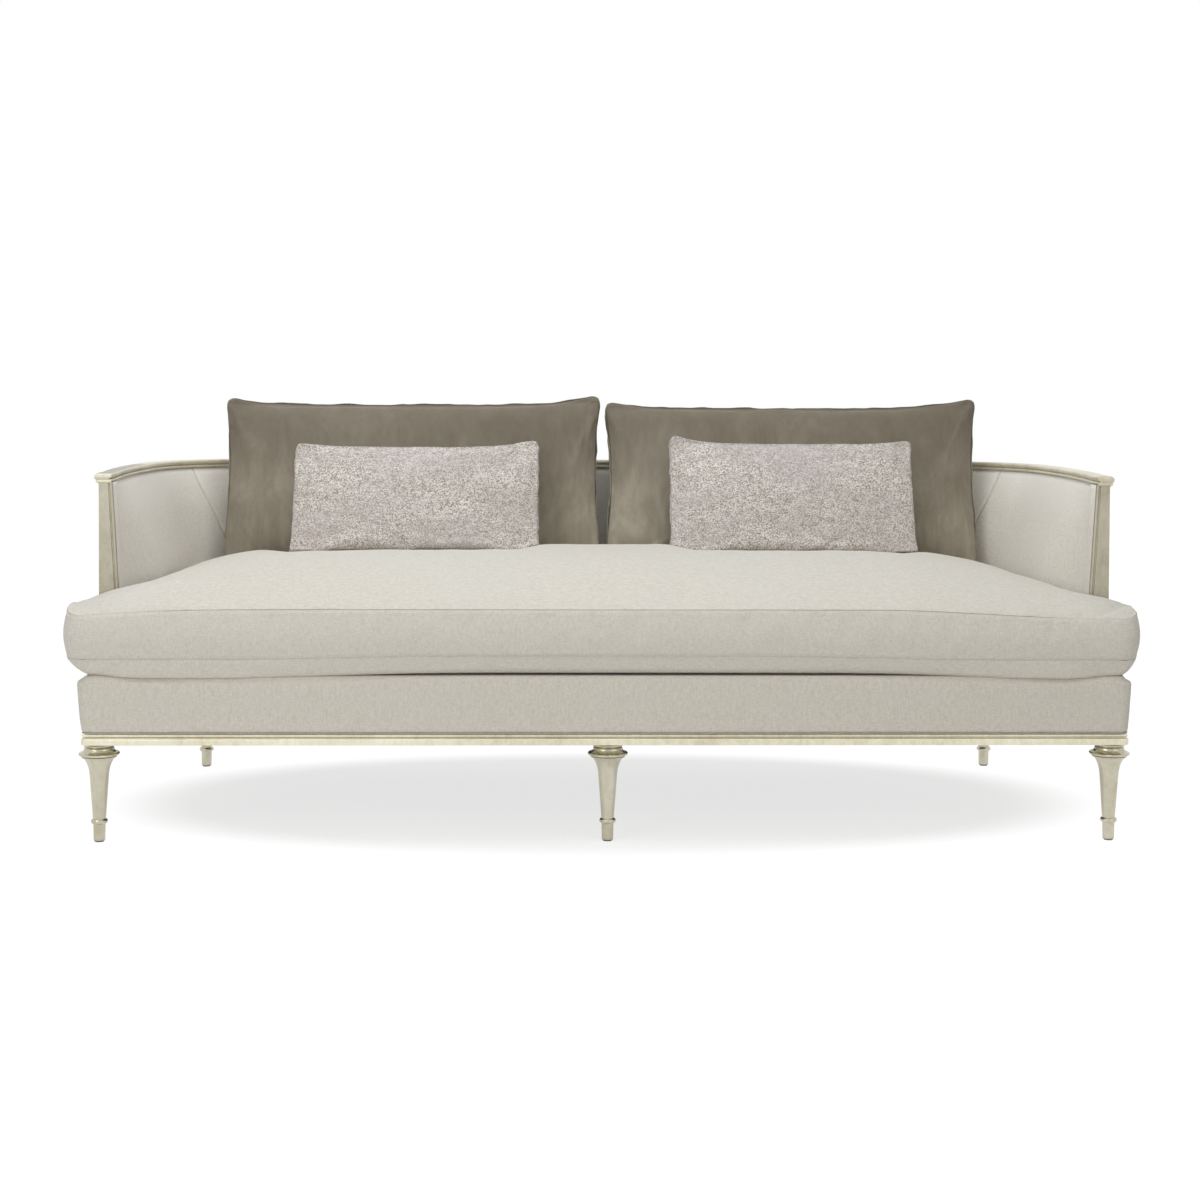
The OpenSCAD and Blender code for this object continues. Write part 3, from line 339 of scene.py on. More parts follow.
def velvet(name, painted_highlight_lift=1.0):
    mat, tree, shader = finish(name, linear(126, 118, 104), 0.85, Sheen_Weight=0.75,
                               Sheen_Roughness=0.4, Specular_IOR_Level=0.2)
    shader.inputs["Sheen Tint"].default_value = (*linear(226, 218, 204), 1)
    brushed = cloud(tree, place(tree, (1, 1, 0.55), (0, 0.25, 0)), 9, 5, 0.62, 0.8)
    streaks = cloud(tree, place(tree, (1, 1, 0.12)), 60, 3, 0.6, 0.3)
    pile = cloud(tree, place(tree), 900, 2, 0.6)
    patches = blend_of(tree, brushed, streaks, 0.72)
    tones = [tuple(c * painted_highlight_lift for c in tone) for tone in VELVET_TONES]
    colour = ramp(tree, patches, list(zip((0.36, 0.5, 0.64), tones)))
    # Painted shade: the colour darkens towards the top.
    painted_top_shade = ramp(tree, along(tree, place(tree), "Z"), [(0.62, 0.0), (0.86, 0.7)])
    colour = tint(tree, painted_top_shade, colour, linear(104, 96, 82))
    speck = tint(tree, maths(tree, "MULTIPLY", pile, 0.22), colour, linear(92, 84, 72))
    paint_seam_shade(tree, shader, speck, linear(46, 41, 35), 0.85)
    height = maths(tree, "ADD", maths(tree, "MULTIPLY", pile, 0.5), patches)
    relief(tree, shader, height, 0.0012, 0.5)
    return mat


taupe_velvet = velvet("taupe_velvet")
# A lighter copy of the velvet for the piping, as a painted highlight.
velvet_cord_painted_highlight = velvet("velvet_cord_painted_highlight", 1.2)

# %% [markdown]
# The lumbar pillows are a thick chenille: fuzzy light tufts over a darker grey ground, with faint
# mauve and grey bands where the yarn changes. The tufts are a few millimetres long and lie more
# across than up, so they are mixed from two noises that are drawn out a little sideways.

# %% Chenille
def chenille(name):
    mat, tree, shader = finish(name, linear(196, 189, 182), 0.95, Sheen_Weight=0.35,
                               Sheen_Roughness=0.6, Specular_IOR_Level=0.15)
    tufts = cloud(tree, place(tree, (0.75, 1, 1)), 400, 2, 0.6)
    clumps = cloud(tree, place(tree, (0.6, 0.6, 1)), 110, 4, 0.65, 0.6)
    bands = cloud(tree, place(tree, (0.3, 0.3, 1)), 17, 4, 0.6, 0.5)
    mauve = cloud(tree, place(tree, (0.5, 0.5, 1)), 11, 3, 0.6, 0.4)
    fuzz = blend_of(tree, tufts, clumps, 0.74)
    colour = ramp(tree, fuzz, [(0.40, linear(132, 123, 117)), (0.49, linear(196, 188, 180)),
                               (0.57, linear(240, 236, 230))])
    grey_share = ramp(tree, bands, [(0.38, 0.0), (0.62, 0.35)])
    banded = tint(tree, grey_share, colour, linear(168, 158, 153))
    mauve_share = ramp(tree, mauve, [(0.45, 0.0), (0.65, 0.3)])
    toned = tint(tree, mauve_share, banded, linear(196, 182, 184))
    paint_seam_shade(tree, shader, toned, linear(104, 96, 90), 0.7)
    relief(tree, shader, fuzz, 0.0035, 0.75)
    return mat


heather_chenille = chenille("heather_chenille")

# %% [markdown]
# The show wood is finished in champagne leaf: thin metal leaf over a cream ground, rubbed back so
# that it is neither quite metal nor quite paint. Its colour drifts in soft clouds. Where an
# occlusion node finds recesses it darkens them, partly the glaze left there and partly painted
# shade, and a painted dark reflection lies along the flat top of the left arm's rail. The plinth,
# rail, posts and legs are lighter and darker copies of one leaf, as painted light and shade: the
# plinth is the palest and the posts are the deepest. The legs are polished most.

# %% Champagne leaf
LEAF_TONES = [linear(198, 190, 164), linear(220, 214, 191), linear(234, 229, 209)]


def leaf(name, shade, metal=0.55, polish=0.22, hollows=0.4, painted_reflection_top=False):
    tones = [tuple(c * shade for c in tone) for tone in LEAF_TONES]
    mat, tree, shader = finish(name, tones[1], 0.34, Metallic=metal, Specular_IOR_Level=0.4,
                               Coat_Weight=0.08, Coat_Roughness=0.35)
    where = place(tree)
    drift = cloud(tree, where, 7, 5, 0.6, 0.4)
    rubbed = cloud(tree, place(tree, (1, 1, 0.5)), 70, 5, 0.7, 0.5)
    colour = ramp(tree, blend_of(tree, drift, rubbed, 0.55), list(zip((0.34, 0.5, 0.66), tones)))
    specks = cloud(tree, where, 240, 4, 0.75)
    bare = ramp(tree, specks, [(0.30, 0.45), (0.38, 0.0)])
    worn = tint(tree, bare, colour, linear(132, 122, 98))
    # Recesses found by occlusion are darkened: partly the glaze left there, partly painted shade.
    hollow = add(tree, "AmbientOcclusion", Distance=0.018)
    hollow.samples = 4
    glaze_and_shade = ramp(tree, hollow.outputs["AO"], [(0.25, hollows), (0.75, 0.0)])
    glazed_and_shaded = tint(tree, glaze_and_shade, worn, linear(108, 98, 74))
    # Painted reflection: the flat top of the left arm's rail is darkened towards the front.
    if painted_reflection_top:
        normal = add(tree, "NewGeometry").outputs["Normal"]
        flat = ramp(tree, along(tree, normal, "Z"), [(0.70, 0.0), (0.95, 1.0)])
        leftward = maths(tree, "MULTIPLY", along(tree, where, "X"), -1.0)
        left = ramp(tree, leftward, [(0.0, 0.0), (0.6, 0.75)])
        forward = maths(tree, "MULTIPLY", along(tree, where, "Y"), -8.0)
        front = maths(tree, "MULTIPLY", left, maths(tree, "ADD", forward, 1.4, clamp=True))
        glazed_and_shaded = tint(tree, maths(tree, "MULTIPLY", flat, front), glazed_and_shaded, linear(84, 78, 66))
    join(tree, glazed_and_shaded, shader.inputs["Base Color"])
    rough = maths(tree, "ADD", maths(tree, "MULTIPLY", rubbed, 0.22), polish)
    join(tree, rough, shader.inputs["Roughness"])
    height = maths(tree, "ADD", rubbed, maths(tree, "MULTIPLY", specks, 0.3))
    relief(tree, shader, height, 0.0006, 0.3)
    return mat


# Lighter and darker copies of one leaf for plinth, rail, posts and legs, as painted light and
# shade.
champagne_leaf = leaf("champagne_leaf", 1.12)
rail_leaf = leaf("rail_leaf", 1.0, metal=0.2, hollows=0.1, painted_reflection_top=True)
post_leaf = leaf("post_leaf", 0.63)
leg_leaf = leaf("leg_leaf", 0.73, metal=0.9, polish=0.10, hollows=0.9)

# %% [markdown]
# Hidden and half-hidden pieces get plain working finishes: beech for the frame, dark woven webbing,
# zinc-plated steel, black cloth under the seat and dark nylon glides.

# %% Working finishes
def beech(name):
    mat, tree, shader = finish(name, linear(196, 164, 122), 0.6)
    grain = thread(tree, place(tree, (0.15, 1, 1)), "Z", 38, 3.5)
    pores = cloud(tree, place(tree, (0.1, 1, 1)), 300, 3)
    tone = blend_of(tree, grain, cloud(tree, place(tree), 5, 3), 0.5)
    colour = ramp(tree, tone, [(0.2, linear(178, 144, 102)), (0.8, linear(212, 182, 140))])
    pitted = ramp(tree, pores, [(0.35, 0.5), (0.45, 0.0)])
    join(tree, tint(tree, pitted, colour, linear(140, 106, 70)), shader.inputs["Base Color"])
    relief(tree, shader, pores, 0.0004, 0.4)
    return mat


def cloth_tape(name, light, dark, pitch):
    mat, tree, shader = finish(name, light, 0.9, Sheen_Weight=0.15)
    cross = weave(tree, pitch)
    colour = ramp(tree, maths(tree, "MULTIPLY", cross, 0.333), [(0.3, dark), (0.7, light)])
    join(tree, colour, shader.inputs["Base Color"])
    relief(tree, shader, cross, 0.0006, 0.6)
    return mat


def metal(name):
    mat, tree, shader = finish(name, linear(178, 180, 184), 0.32, Metallic=1.0)
    marks = cloud(tree, place(tree, (1, 1, 0.1)), 260, 4, 0.7)
    colour = ramp(tree, marks, [(0.3, linear(150, 152, 156)), (0.7, linear(196, 198, 200))])
    join(tree, colour, shader.inputs["Base Color"])
    rough = maths(tree, "ADD", maths(tree, "MULTIPLY", marks, 0.3), 0.2)
    join(tree, rough, shader.inputs["Roughness"])
    return mat


def nylon(name):
    mat, tree, shader = finish(name, linear(48, 46, 44), 0.55)
    grit = cloud(tree, place(tree), 500, 3)
    colour = ramp(tree, grit, [(0.3, linear(40, 38, 37)), (0.7, linear(62, 60, 57))])
    join(tree, colour, shader.inputs["Base Color"])
    relief(tree, shader, grit, 0.0003, 0.5)
    return mat


beech_wood = beech("beech")
web_tape = cloth_tape("webbing_tape", linear(66, 64, 62), linear(34, 33, 32), 0.003)
black_cloth = cloth_tape("black_cloth", linear(52, 50, 50), linear(30, 29, 29), 0.0015)
zinc_steel = metal("zinc_steel")
dark_nylon = nylon("dark_nylon")

FINISH_OF = {"show_wood": champagne_leaf, "hardwood": beech_wood, "webbing": web_tape,
             "steel": zinc_steel, "glide": dark_nylon}
LEAF_OF = {"top": rail_leaf, "post": post_leaf, "leg": leg_leaf}
slot_of_node = {part["node"]: part["material_slot"] for part in frame["record"]["subparts"]}
for node_name, cad in nodes.items():
    wanted = FINISH_OF.get(slot_of_node.get(node_name))
    if wanted is champagne_leaf:
        wanted = LEAF_OF.get(node_name.split("_")[0], champagne_leaf)
    if wanted:
        cad.data.materials.clear()
        cad.data.materials.append(wanted)
print("finished", sum(1 for n in nodes if slot_of_node.get(n) in FINISH_OF), "frame nodes")

# %% [markdown]
# The upholstery follows the same plan as the frame: a straight front, gently bowed arms, a round
# bend at each rear corner and a straight back. A place on that plan is called a station here. It is
# a point on the frame's outer face with the outward direction there, so a layer of padding is just
# a distance outwards or inwards from it.

# %% Plan of the tub
POST_HALF, FRONT_Y, BACK_Y = 1.068, -0.451, 0.469
POST_BACK_Y, BOW_Y, BEND_R = -0.294, 0.019, 0.280
BEND_Y = BACK_Y - BEND_R
ARM_BOW = 0.020
ARM_R = ((BOW_Y - POST_BACK_Y) ** 2 + ARM_BOW ** 2) / (2 * ARM_BOW)
ARM_X = POST_HALF + ARM_BOW - ARM_R
ARM_A0 = -math.asin((BOW_Y - POST_BACK_Y) / ARM_R)
ARM_A1 = math.asin((BEND_Y - BOW_Y) / (ARM_R - BEND_R))
BEND_X = ARM_X + (ARM_R - BEND_R) * math.cos(ARM_A1)
ARM_L = ARM_R * (ARM_A1 - ARM_A0)
RAIL_UNDER, SEAT_RAIL_TOP, DECK_TOP = 0.741, 0.330, 0.35125
PAD_FULL, PAD_UNDER_RAIL, PAD_SWELL = 0.100, 0.027, 0.073
PAD_FULL_BELOW, PAD_REACH, PAD_LEAST = 0.505, 0.220, 0.023
POST_FOOT, POST_HEAD, TACK_GAP = 0.051, 0.028, 0.0003


def mix(a, b, t):
    return a + (b - a) * t


def ease(t):
    t = min(max(t, 0.0), 1.0)
    return t * t * (3 - 2 * t)


def round_station(x, y, r, a):
    c, s = math.cos(a), math.sin(a)
    return Vector((x + r * c, y + r * s, 0)), Vector((c, s, 0))


def bend_station(a):
    return round_station(BEND_X, BEND_Y, BEND_R, a)


def arm_and_bend(length):
    """The station at a length behind the post: along the arm, then round the bend."""
    if length <= ARM_L:
        return round_station(ARM_X, BOW_Y, ARM_R, ARM_A0 + length / ARM_R)
    return bend_station(min(ARM_A1 + (length - ARM_L) / BEND_R, math.pi / 2))


def at(station, u, z):
    """The point at a height and at a distance outwards from a station."""
    p = station[0] + station[1] * u
    return Vector((p.x, p.y, z))


def post_width(z):
    return mix(POST_FOOT, POST_HEAD, (z - SEAT_RAIL_TOP) / (RAIL_UNDER - SEAT_RAIL_TOP))


def pad_depth(length, z):
    """Thickness of the tub's inside wall from the frame's outer face."""
    rise = min(1.0, (RAIL_UNDER - z) / (RAIL_UNDER - PAD_FULL_BELOW))
    full = PAD_UNDER_RAIL + PAD_SWELL * math.sin(math.pi / 2 * rise)
    return mix(max(post_width(z) - 0.003, PAD_LEAST), full, ease(length / PAD_REACH))


print("arm length", round(ARM_L, 4), "bend centre", round(BEND_X, 4), round(BEND_Y, 4))

# %% [markdown]
# Nearly every padded piece here is a closed box at heart: two faces with a strip of cloth between
# them. So one helper makes a box of even quads with bmesh operators, remembers where each point
# sits between -1 and 1 on the three axes, and then moves the points onto the real shape. The rows
# where a face meets the strip are the sewn seams, and they stay exact edge loops.

# %% Boxes of quads
EDGE = 0.9999


def quad_box(cuts, shape, flip=False):
    bm = bmesh.new()
    bmesh.ops.create_cube(bm, size=2)
    for axis, n in enumerate(cuts):
        runs = [e for e in bm.edges if abs(e.verts[0].co[axis] - e.verts[1].co[axis]) > 1e-4]
        bmesh.ops.subdivide_edges(bm, edges=runs, cuts=n, use_grid_fill=True)
    unit = [v.co.copy() for v in bm.verts]
    for v, q in zip(bm.verts, unit):
        v.co = shape(*q)
    if flip:
        bmesh.ops.reverse_faces(bm, faces=bm.faces[:])
    bm.normal_update()
    return bm, unit


def piece(name, bm, skin, smooth=True):
    mesh = bpy.data.meshes.new(name)
    bm.to_mesh(mesh)
    bm.free()
    for face in mesh.polygons:
        face.use_smooth = smooth
    mesh.materials.append(skin)
    obj = bpy.data.objects.new(name, mesh)
    scene.collection.objects.link(obj)
    return obj


def fit(obj, node, body):
    """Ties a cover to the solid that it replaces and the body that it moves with."""
    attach(obj, body)
    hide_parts(node)


def frame_cover(name, cuts, shape, skin, node):
    """A cover that is fixed to the frame, as a box of quads."""
    bm, _ = quad_box(cuts, shape)
    bmesh.ops.recalc_face_normals(bm, faces=bm.faces[:])
    fit(piece(name, bm, skin), node, "frame")


def is_rim(q):
    return max(abs(q.x), abs(q.y)) > EDGE


def on_strip(q):
    """Whether a point is on the strip between the two faces, off the seams."""
    return is_rim(q) and abs(q.z) < EDGE


def seam_indices(unit, face=None):
    """Points on the sewn seams: the rims of the two faces, or of one of them."""
    return [i for i, q in enumerate(unit)
            if is_rim(q) and abs(q.z) > EDGE and (face is None or q.z * face > 0)]


def seam_order(unit, face):
    """The rim of one face in order round it."""
    def key(i):
        q = unit[i]
        if q.y < -EDGE and q.x < EDGE:
            return (0, q.x)
        if q.x > EDGE and q.y < EDGE:
            return (1, q.y)
        if q.y > EDGE and q.x > -EDGE:
            return (2, -q.x)
        return (3, -q.y)
    return sorted(seam_indices(unit, face), key=key)


def ripple(p, size, seed):
    """Smooth repeatable noise from -1 to 1 at a point, with bumps of that size."""
    return noise.noise(Vector(p) / size + Vector((seed * 7.3, seed * 3.1, seed * 5.7)))


# %% [markdown]
# Stuffing is simulated. The cover starts a little slimmer than the finished cushion, its seams are
# pinned, and air pressure blows it up for twenty frames while the cloth is given spare length: half
# a percent on the firm seat, about three on the soft cushions. It has nowhere to go but into small
# puckers along the seams, as on a real cushion. How far a point moves is capped afterwards, so the
# cushion keeps its size.

# %% Stuffing by cloth simulation
STUFFING_FRAMES = 20


def stuff(obj, pinned, pressure, spare, cap, bend):
    """Returns the farthest that a point was blown before the cap."""
    start = [v.co.copy() for v in obj.data.vertices]
    seams = obj.vertex_groups.new(name="seams")
    seams.add(pinned, 1.0, "REPLACE")
    cloth = obj.modifiers.new("stuffing", "CLOTH")
    s = cloth.settings
    s.quality = 4
    s.mass = 0.25
    s.tension_stiffness = s.compression_stiffness = 22
    s.shear_stiffness = 8
    s.bending_stiffness = bend
    s.use_pressure = True
    s.uniform_pressure_force = pressure
    s.shrink_min = -spare
    s.vertex_group_mass = "seams"
    s.effector_weights.gravity = 0
    cloth.collision_settings.use_collision = False
    cloth.collision_settings.use_self_collision = False
    cloth.point_cache.frame_start, cloth.point_cache.frame_end = 1, STUFFING_FRAMES
    for f in range(1, STUFFING_FRAMES + 1):
        scene.frame_set(f)
    blown = obj.evaluated_get(bpy.context.evaluated_depsgraph_get())
    ends = [v.co.copy() for v in blown.data.vertices]
    obj.modifiers.remove(cloth)
    obj.vertex_groups.clear()
    scene.frame_set(1)
    most = 0.0
    for v, a, b in zip(obj.data.vertices, start, ends):
        d = b - a
        most = max(most, d.length)
        if d.length > 1e-9:
            v.co = a + d * (cap * math.tanh(d.length / cap) / d.length)
    obj.data.update()
    return most


# %% [markdown]
# A piping is a cord wrapped in the cover cloth and caught in the seam. A curve with a round bevel
# follows the seam's points, and is turned into a mesh so that its place is in the mesh.

# %% Piping
def piping(name, points, radius, skin, closed=True):
    curve = bpy.data.curves.new(name, "CURVE")
    curve.dimensions = "3D"
    curve.bevel_depth = radius
    curve.bevel_resolution = 4
    curve.use_fill_caps = True
    spline = curve.splines.new("POLY")
    spline.points.add(len(points) - 1)
    for q, p in zip(spline.points, points):
        q.co = (*p, 1)
    spline.use_cyclic_u = closed
    obj = bpy.data.objects.new(name, curve)
    scene.collection.objects.link(obj)
    bpy.context.view_layer.update()
    solid = obj.evaluated_get(bpy.context.evaluated_depsgraph_get())
    bm = bmesh.new()
    bm.from_mesh(bpy.data.meshes.new_from_object(solid))
    bpy.data.objects.remove(obj)
    bmesh.ops.remove_doubles(bm, verts=bm.verts[:], dist=1e-6)
    bmesh.ops.recalc_face_normals(bm, faces=bm.faces[:])
    return piece(name, bm, skin)


# %% [markdown]
# The bench cushion is one T-shaped block. Behind the posts it fills the tub, and in front of them a
# round lobe reaches out on each side. Its rows run from front to back: each has a place in Y and a
# half width, and the columns are shares of that width. The crown is highest in the middle.

# %% Seat cushion: its outline
SEAM_TOP, SEAM_LOW, CROWN, FALL = 0.489, 0.393, 0.090, 0.016
LOBE_HALF, LOBE_R, LOBE_REAR_R, BULGE = 1.106, 0.042, 0.014, 0.010
LOBE_SHIFT, CUSHION_SHIFT = -0.0065, 0.008
PILLOW_X, PILLOW_HALF, DENT = 0.445, 0.287, 0.0135
WALL_CLEAR = 0.011
SEAM_FRONT, SEAM_BACK = -0.471, BACK_Y - PAD_FULL - WALL_CLEAR
LOBE_BACK = -0.345 - WALL_CLEAR
WALL_Z = SEAM_LOW - BULGE
NARROW_Y = POST_BACK_Y + PAD_REACH
SEAT_MID, SEAT_HALF_D = (SEAM_FRONT + SEAM_BACK) / 2, (SEAM_BACK - SEAM_FRONT) / 2


def arm_wall_half(y, off):
    length = max(0.0, (y - POST_BACK_Y) / (BEND_Y - POST_BACK_Y) * ARM_L)
    r = ARM_R - pad_depth(length, WALL_Z) - off
    return ARM_X + math.sqrt(r * r - (y - BOW_Y) ** 2)


def wall_half(y, off):
    """Half width between the posts or the inside walls, less a distance from them."""
    beside_post = POST_HALF - post_width(WALL_Z) - off
    if y <= POST_BACK_Y:
        return beside_post
    if y < BEND_Y:
        return min(beside_post, arm_wall_half(y, off), arm_wall_half(min(y, NARROW_Y), off))
    r = BEND_R - PAD_FULL - off
    return BEND_X + math.sqrt(max(0.0, r * r - (y - BEND_Y) ** 2))


def seat_row_list():
    """Round the lobe's front, along its end, round its rear, then back along the tub's walls."""
    turn = [math.radians(a) for a in (0, 12, 24, 36, 48, 60, 72, 82, 90)]
    rows = [(SEAM_FRONT + LOBE_R * (1 - math.cos(a)), LOBE_HALF - LOBE_R * (1 - math.sin(a)))
            for a in turn]
    end, straight, deep = LOBE_BACK - LOBE_REAR_R, 6, 56
    rows += [(mix(SEAM_FRONT + LOBE_R, end, k / straight), LOBE_HALF) for k in range(1, straight)]
    rows += [(LOBE_BACK - LOBE_REAR_R * math.cos(a), LOBE_HALF - LOBE_REAR_R * math.sin(a) ** 2)
             for a in (math.radians(d) for d in (0, 25, 50, 70, 90))]
    front = LOBE_BACK + 0.003
    rows.append((front - 0.0015, wall_half(front, WALL_CLEAR)))
    for k in range(1, deep + 1):
        y = mix(front, SEAM_BACK, math.sin(math.pi / 2 * k / deep))
        rows.append((y, wall_half(y, WALL_CLEAR)))
    return rows


seat_rows = seat_row_list()


def seam_fall(x):
    """How far the seams hang at the lobes: only at the tip on the left, sooner on the right."""
    return FALL * ((-x / LOBE_HALF) ** 8 if x < 0 else ease((x - 0.55) / 0.45))


def edge_drop(x):
    """How far the lower front edge sags beside the legs' span, over the apron's softer top."""
    start, span = (0.20, 0.60) if x < 0 else (0.45, 0.50)
    return 0.0115 * (ease((abs(x) - start) / span) - ease((abs(x) - 0.95) / 0.12))


def dent(x, y):
    """How far the pillows' weight presses the crown down, under and just in front of them."""
    spare = 0.08 if x < -PILLOW_X else 0.03
    across = ease((PILLOW_HALF + spare - abs(abs(x - CUSHION_SHIFT) - PILLOW_X)) / 0.10)
    return DENT * across * ease((y + 0.120) / 0.16) * ease((0.300 - y) / 0.08)


def crown_half(y):
    """Half the width over which the crown falls away, a little past the seams."""
    inner = ease((y - SEAM_FRONT) / (POST_BACK_Y - SEAM_FRONT) - 0.3)
    return mix(LOBE_HALF, wall_half(y, WALL_CLEAR), inner) + 0.060


def seat_top(x, y):
    ty = min(1.0, abs(y - SEAT_MID) / SEAT_HALF_D)
    tx = min(1.0, abs(x) / crown_half(y))
    ahead = 1 - ease((y - SEAM_FRONT) / (POST_BACK_Y - SEAM_FRONT))
    steep = mix(7, 18 if x < 0 else 11, ahead)
    seam = SEAM_TOP - seam_fall(x) * mix(0.85, 1, ahead)
    return seam + CROWN * (1 - ty ** 3) * (1 - tx ** steep) - dent(x, y)


def seat_under(s, y, half):
    """The underside at a share of the half width: flat on the deck, up to the seam at the rim."""
    drop = edge_drop(s * half)
    end_round = 0.020 + (0.035 if s < 0 else 0.015) * ease((LOBE_BACK - y) / 0.010)
    rise = max(0.0, 1 - (SEAT_HALF_D - abs(y - SEAT_MID)) / (0.020 - 0.6 * drop)) ** 2
    end_rise = max(0.0, 1 - (1 - abs(s)) * half / end_round) ** 2
    low = DECK_TOP + 0.0008 - drop * min(1.0, max(0.0, (FRONT_Y - y) / 0.0155))
    seam = SEAM_LOW - 0.007 * ease((abs(s) * half - 0.3) / 0.5)
    return low + (seam - low) * (rise + end_rise - rise * end_rise)


print(len(seat_rows), "rows; half widths", [round(w, 3) for _, w in seat_rows[::12]])

# %% [markdown]
# The block is a box of quads laid on those rows, with its top and underside read from the height
# functions, and its strip bulging outwards between the seams. Before the stuffing it is slimmer
# everywhere off the seams, because the air pressure adds about that much again.

# %% Seat cushion: the block and its stuffing
SEAT_SLIM = 0.0025


def seat_shape(s, t, w):
    y, half = seat_rows[round((t + 1) / 2 * (len(seat_rows) - 1))]
    across = math.sin(math.pi / 2 * s) * 0.70 + s * 0.30
    x = across * half
    top, low = seat_top(x, y), seat_under(across, y, half)
    x += LOBE_SHIFT * ease((abs(x) - 0.85) / 0.12) * ease((-0.360 - y) / 0.045)
    return Vector((x, y, mix(low, top, (w + 1) / 2)))


bm, seat_unit = quad_box((230, len(seat_rows) - 2, 9), seat_shape)
for v, q in zip(bm.verts, seat_unit):
    if on_strip(q):
        out_dir = Vector((v.normal.x, v.normal.y, 0)).normalized()
        v.co += out_dir * BULGE * 0.9 * math.cos(q.z * math.pi / 2) ** 0.8
bm.normal_update()
seams = set(seam_indices(seat_unit))
for i, v in enumerate(bm.verts):
    if i not in seams and seat_unit[i].z > -EDGE:
        v.co -= v.normal * SEAT_SLIM
seat = piece("seat_cushion_cover", bm, linen_seat)
moved = stuff(seat, sorted(seams), pressure=4.0, spare=0.006, cap=0.0045, bend=3.0)
print("seat blown by", round(moved, 4), "before the cap")

# %% [markdown]
# After stuffing, the top gets the slow unevenness of a feather wrap: dips of a millimetre or two, a
# hand's breadth across. Then the seams are sewn: each is bevelled into a narrow strip, whose inner
# lines are pulled in, and an attribute marks them so that the finish can paint shade into them.

# %% Seat cushion: unevenness and seams
def sew(obj, seam_sets, width, depth, segments=2):
    """Sink a narrow line along each set of seam points. Each set also says how much painted shade
    its line gets.
    """
    bm = bmesh.new()
    bm.from_mesh(obj.data)
    bm.verts.ensure_lookup_table()
    layer = bm.verts.layers.float.new("seam")
    for members, dark in [({bm.verts[i] for i in points}, dark) for points, dark in seam_sets]:
        edges = [e for e in bm.edges if e.verts[0] in members and e.verts[1] in members]
        made = bmesh.ops.bevel(bm, geom=edges, offset=width, segments=segments, profile=0.5,
                               affect="EDGES", material=-1)
        strip = set(made["faces"])
        bm.normal_update()
        for v in made["verts"]:
            if all(f in strip for f in v.link_faces):
                v.co -= v.normal * depth
                v[layer] = dark
    bm.to_mesh(obj.data)
    bm.free()
    for face in obj.data.polygons:
        face.use_smooth = True


for v, q in zip(seat.data.vertices, seat_unit):
    if q.z > EDGE and not is_rim(q):
        edge = ease(min(1 - abs(q.x), 1 - abs(q.y)) * 6)
        v.co.z += edge * (0.0018 * ripple(v.co, 0.16, 1) + 0.0009 * ripple(v.co, 0.05, 2))
    elif on_strip(q):
        v.co += Vector((0, 0, 0.0008)) * ripple(v.co, 0.07, 3)
seat.data.update()
# Painted shade along both seams, and the top seam's line is darker than the lower one.
sew(seat, [(seam_indices(seat_unit, 1), 1.0), (seam_indices(seat_unit, -1), 0.25)],
    width=0.0013, depth=0.0014)
fit(seat, "seat_cushion", "seat_cushion")

# %% [markdown]
# The two back cushions and the two lumbar pillows are upright blocks that lean back. Both are made
# by the same function: a middle plane from foot to head, a thickness that is full in the middle and
# slim at the sewn edges, sides drawn in between the corners, and a top edge that sags between two
# raised ears. The foot never dips below the crowned seat it stands on.

# %% Standing cushions
BACK = dict(width=0.906, centre=0.462, foot=(0.284, 0.5448), head=(0.377, 0.8900), middle=0.086,
            edge=0.024, crown=0.0, ears={-1: (0.0180, 0.0250), 1: (0.0145, 0.0255)},
            mid={-1: 0.8905, 1: 0.8852}, ear_power={-1: (8, 4), 1: (6, 3.5)}, splay_power=3,
            spread={-1: (0.004, 0.004), 1: (0.004, 0.008)}, splay={-1: (-0.010, 0), 1: (0, -0.008)},
            pull=0.009, bulge=0.006, corner=(0.025, 0.020), full=(3.8, 0.50), crimp=0.0022)
PILLOW = dict(width=0.574, centre=PILLOW_X, foot=(0.120, 0.5480), head=(0.229, 0.7975),
              middle=0.049, edge=0.012, crown=0.003, mid={-1: 0.7930, 1: 0.8035},
              ears={-1: (0.0100, 0.0190), 1: (0.0235, 0.0100)}, ear_power={-1: (5, 4), 1: (5, 5)},
              spread={-1: (0, 0.002), 1: (0, 0.009)}, splay={-1: (0.004, 0.008), 1: (0.011, 0.006)},
              splay_power=8, pull=0.0, bulge=0.003, corner=(0.022, 0.010), full=(2.8, 0.58),
              crimp=0.0010)
NEAR_EDGE, ON_SEAT, CUSHION_SLIM = (0.0025, 0.0075), 0.004, 0.004


def spaced(n, half):
    """Places from -1 to 1 for n steps: two close to each edge, the rest eased between them."""
    ends = [d / half for d in NEAR_EDGE]
    inner = n - 2 * len(NEAR_EDGE)
    even = [2 * i / inner - 1 for i in range(inner + 1)]
    middle = [(1 - ends[1]) * (0.5 * math.sin(math.pi / 2 * k) + 0.5 * k) for k in even]
    return [-1.0, -1 + ends[0], *middle, 1 - ends[0], 1.0]


def rounded(x, z, half_w, half_h, radius):
    """Moves a point of a rectangle's corner square into the quarter circle of that radius."""
    dx, dz = (abs(x) - half_w + radius) / radius, (abs(z) - half_h + radius) / radius
    if min(dx, dz) <= 0:
        return x, z
    return (math.copysign(half_w + radius * (dx * math.sqrt(1 - dz * dz / 2) - 1), x),
            math.copysign(half_h + radius * (dz * math.sqrt(1 - dx * dx / 2) - 1), z))


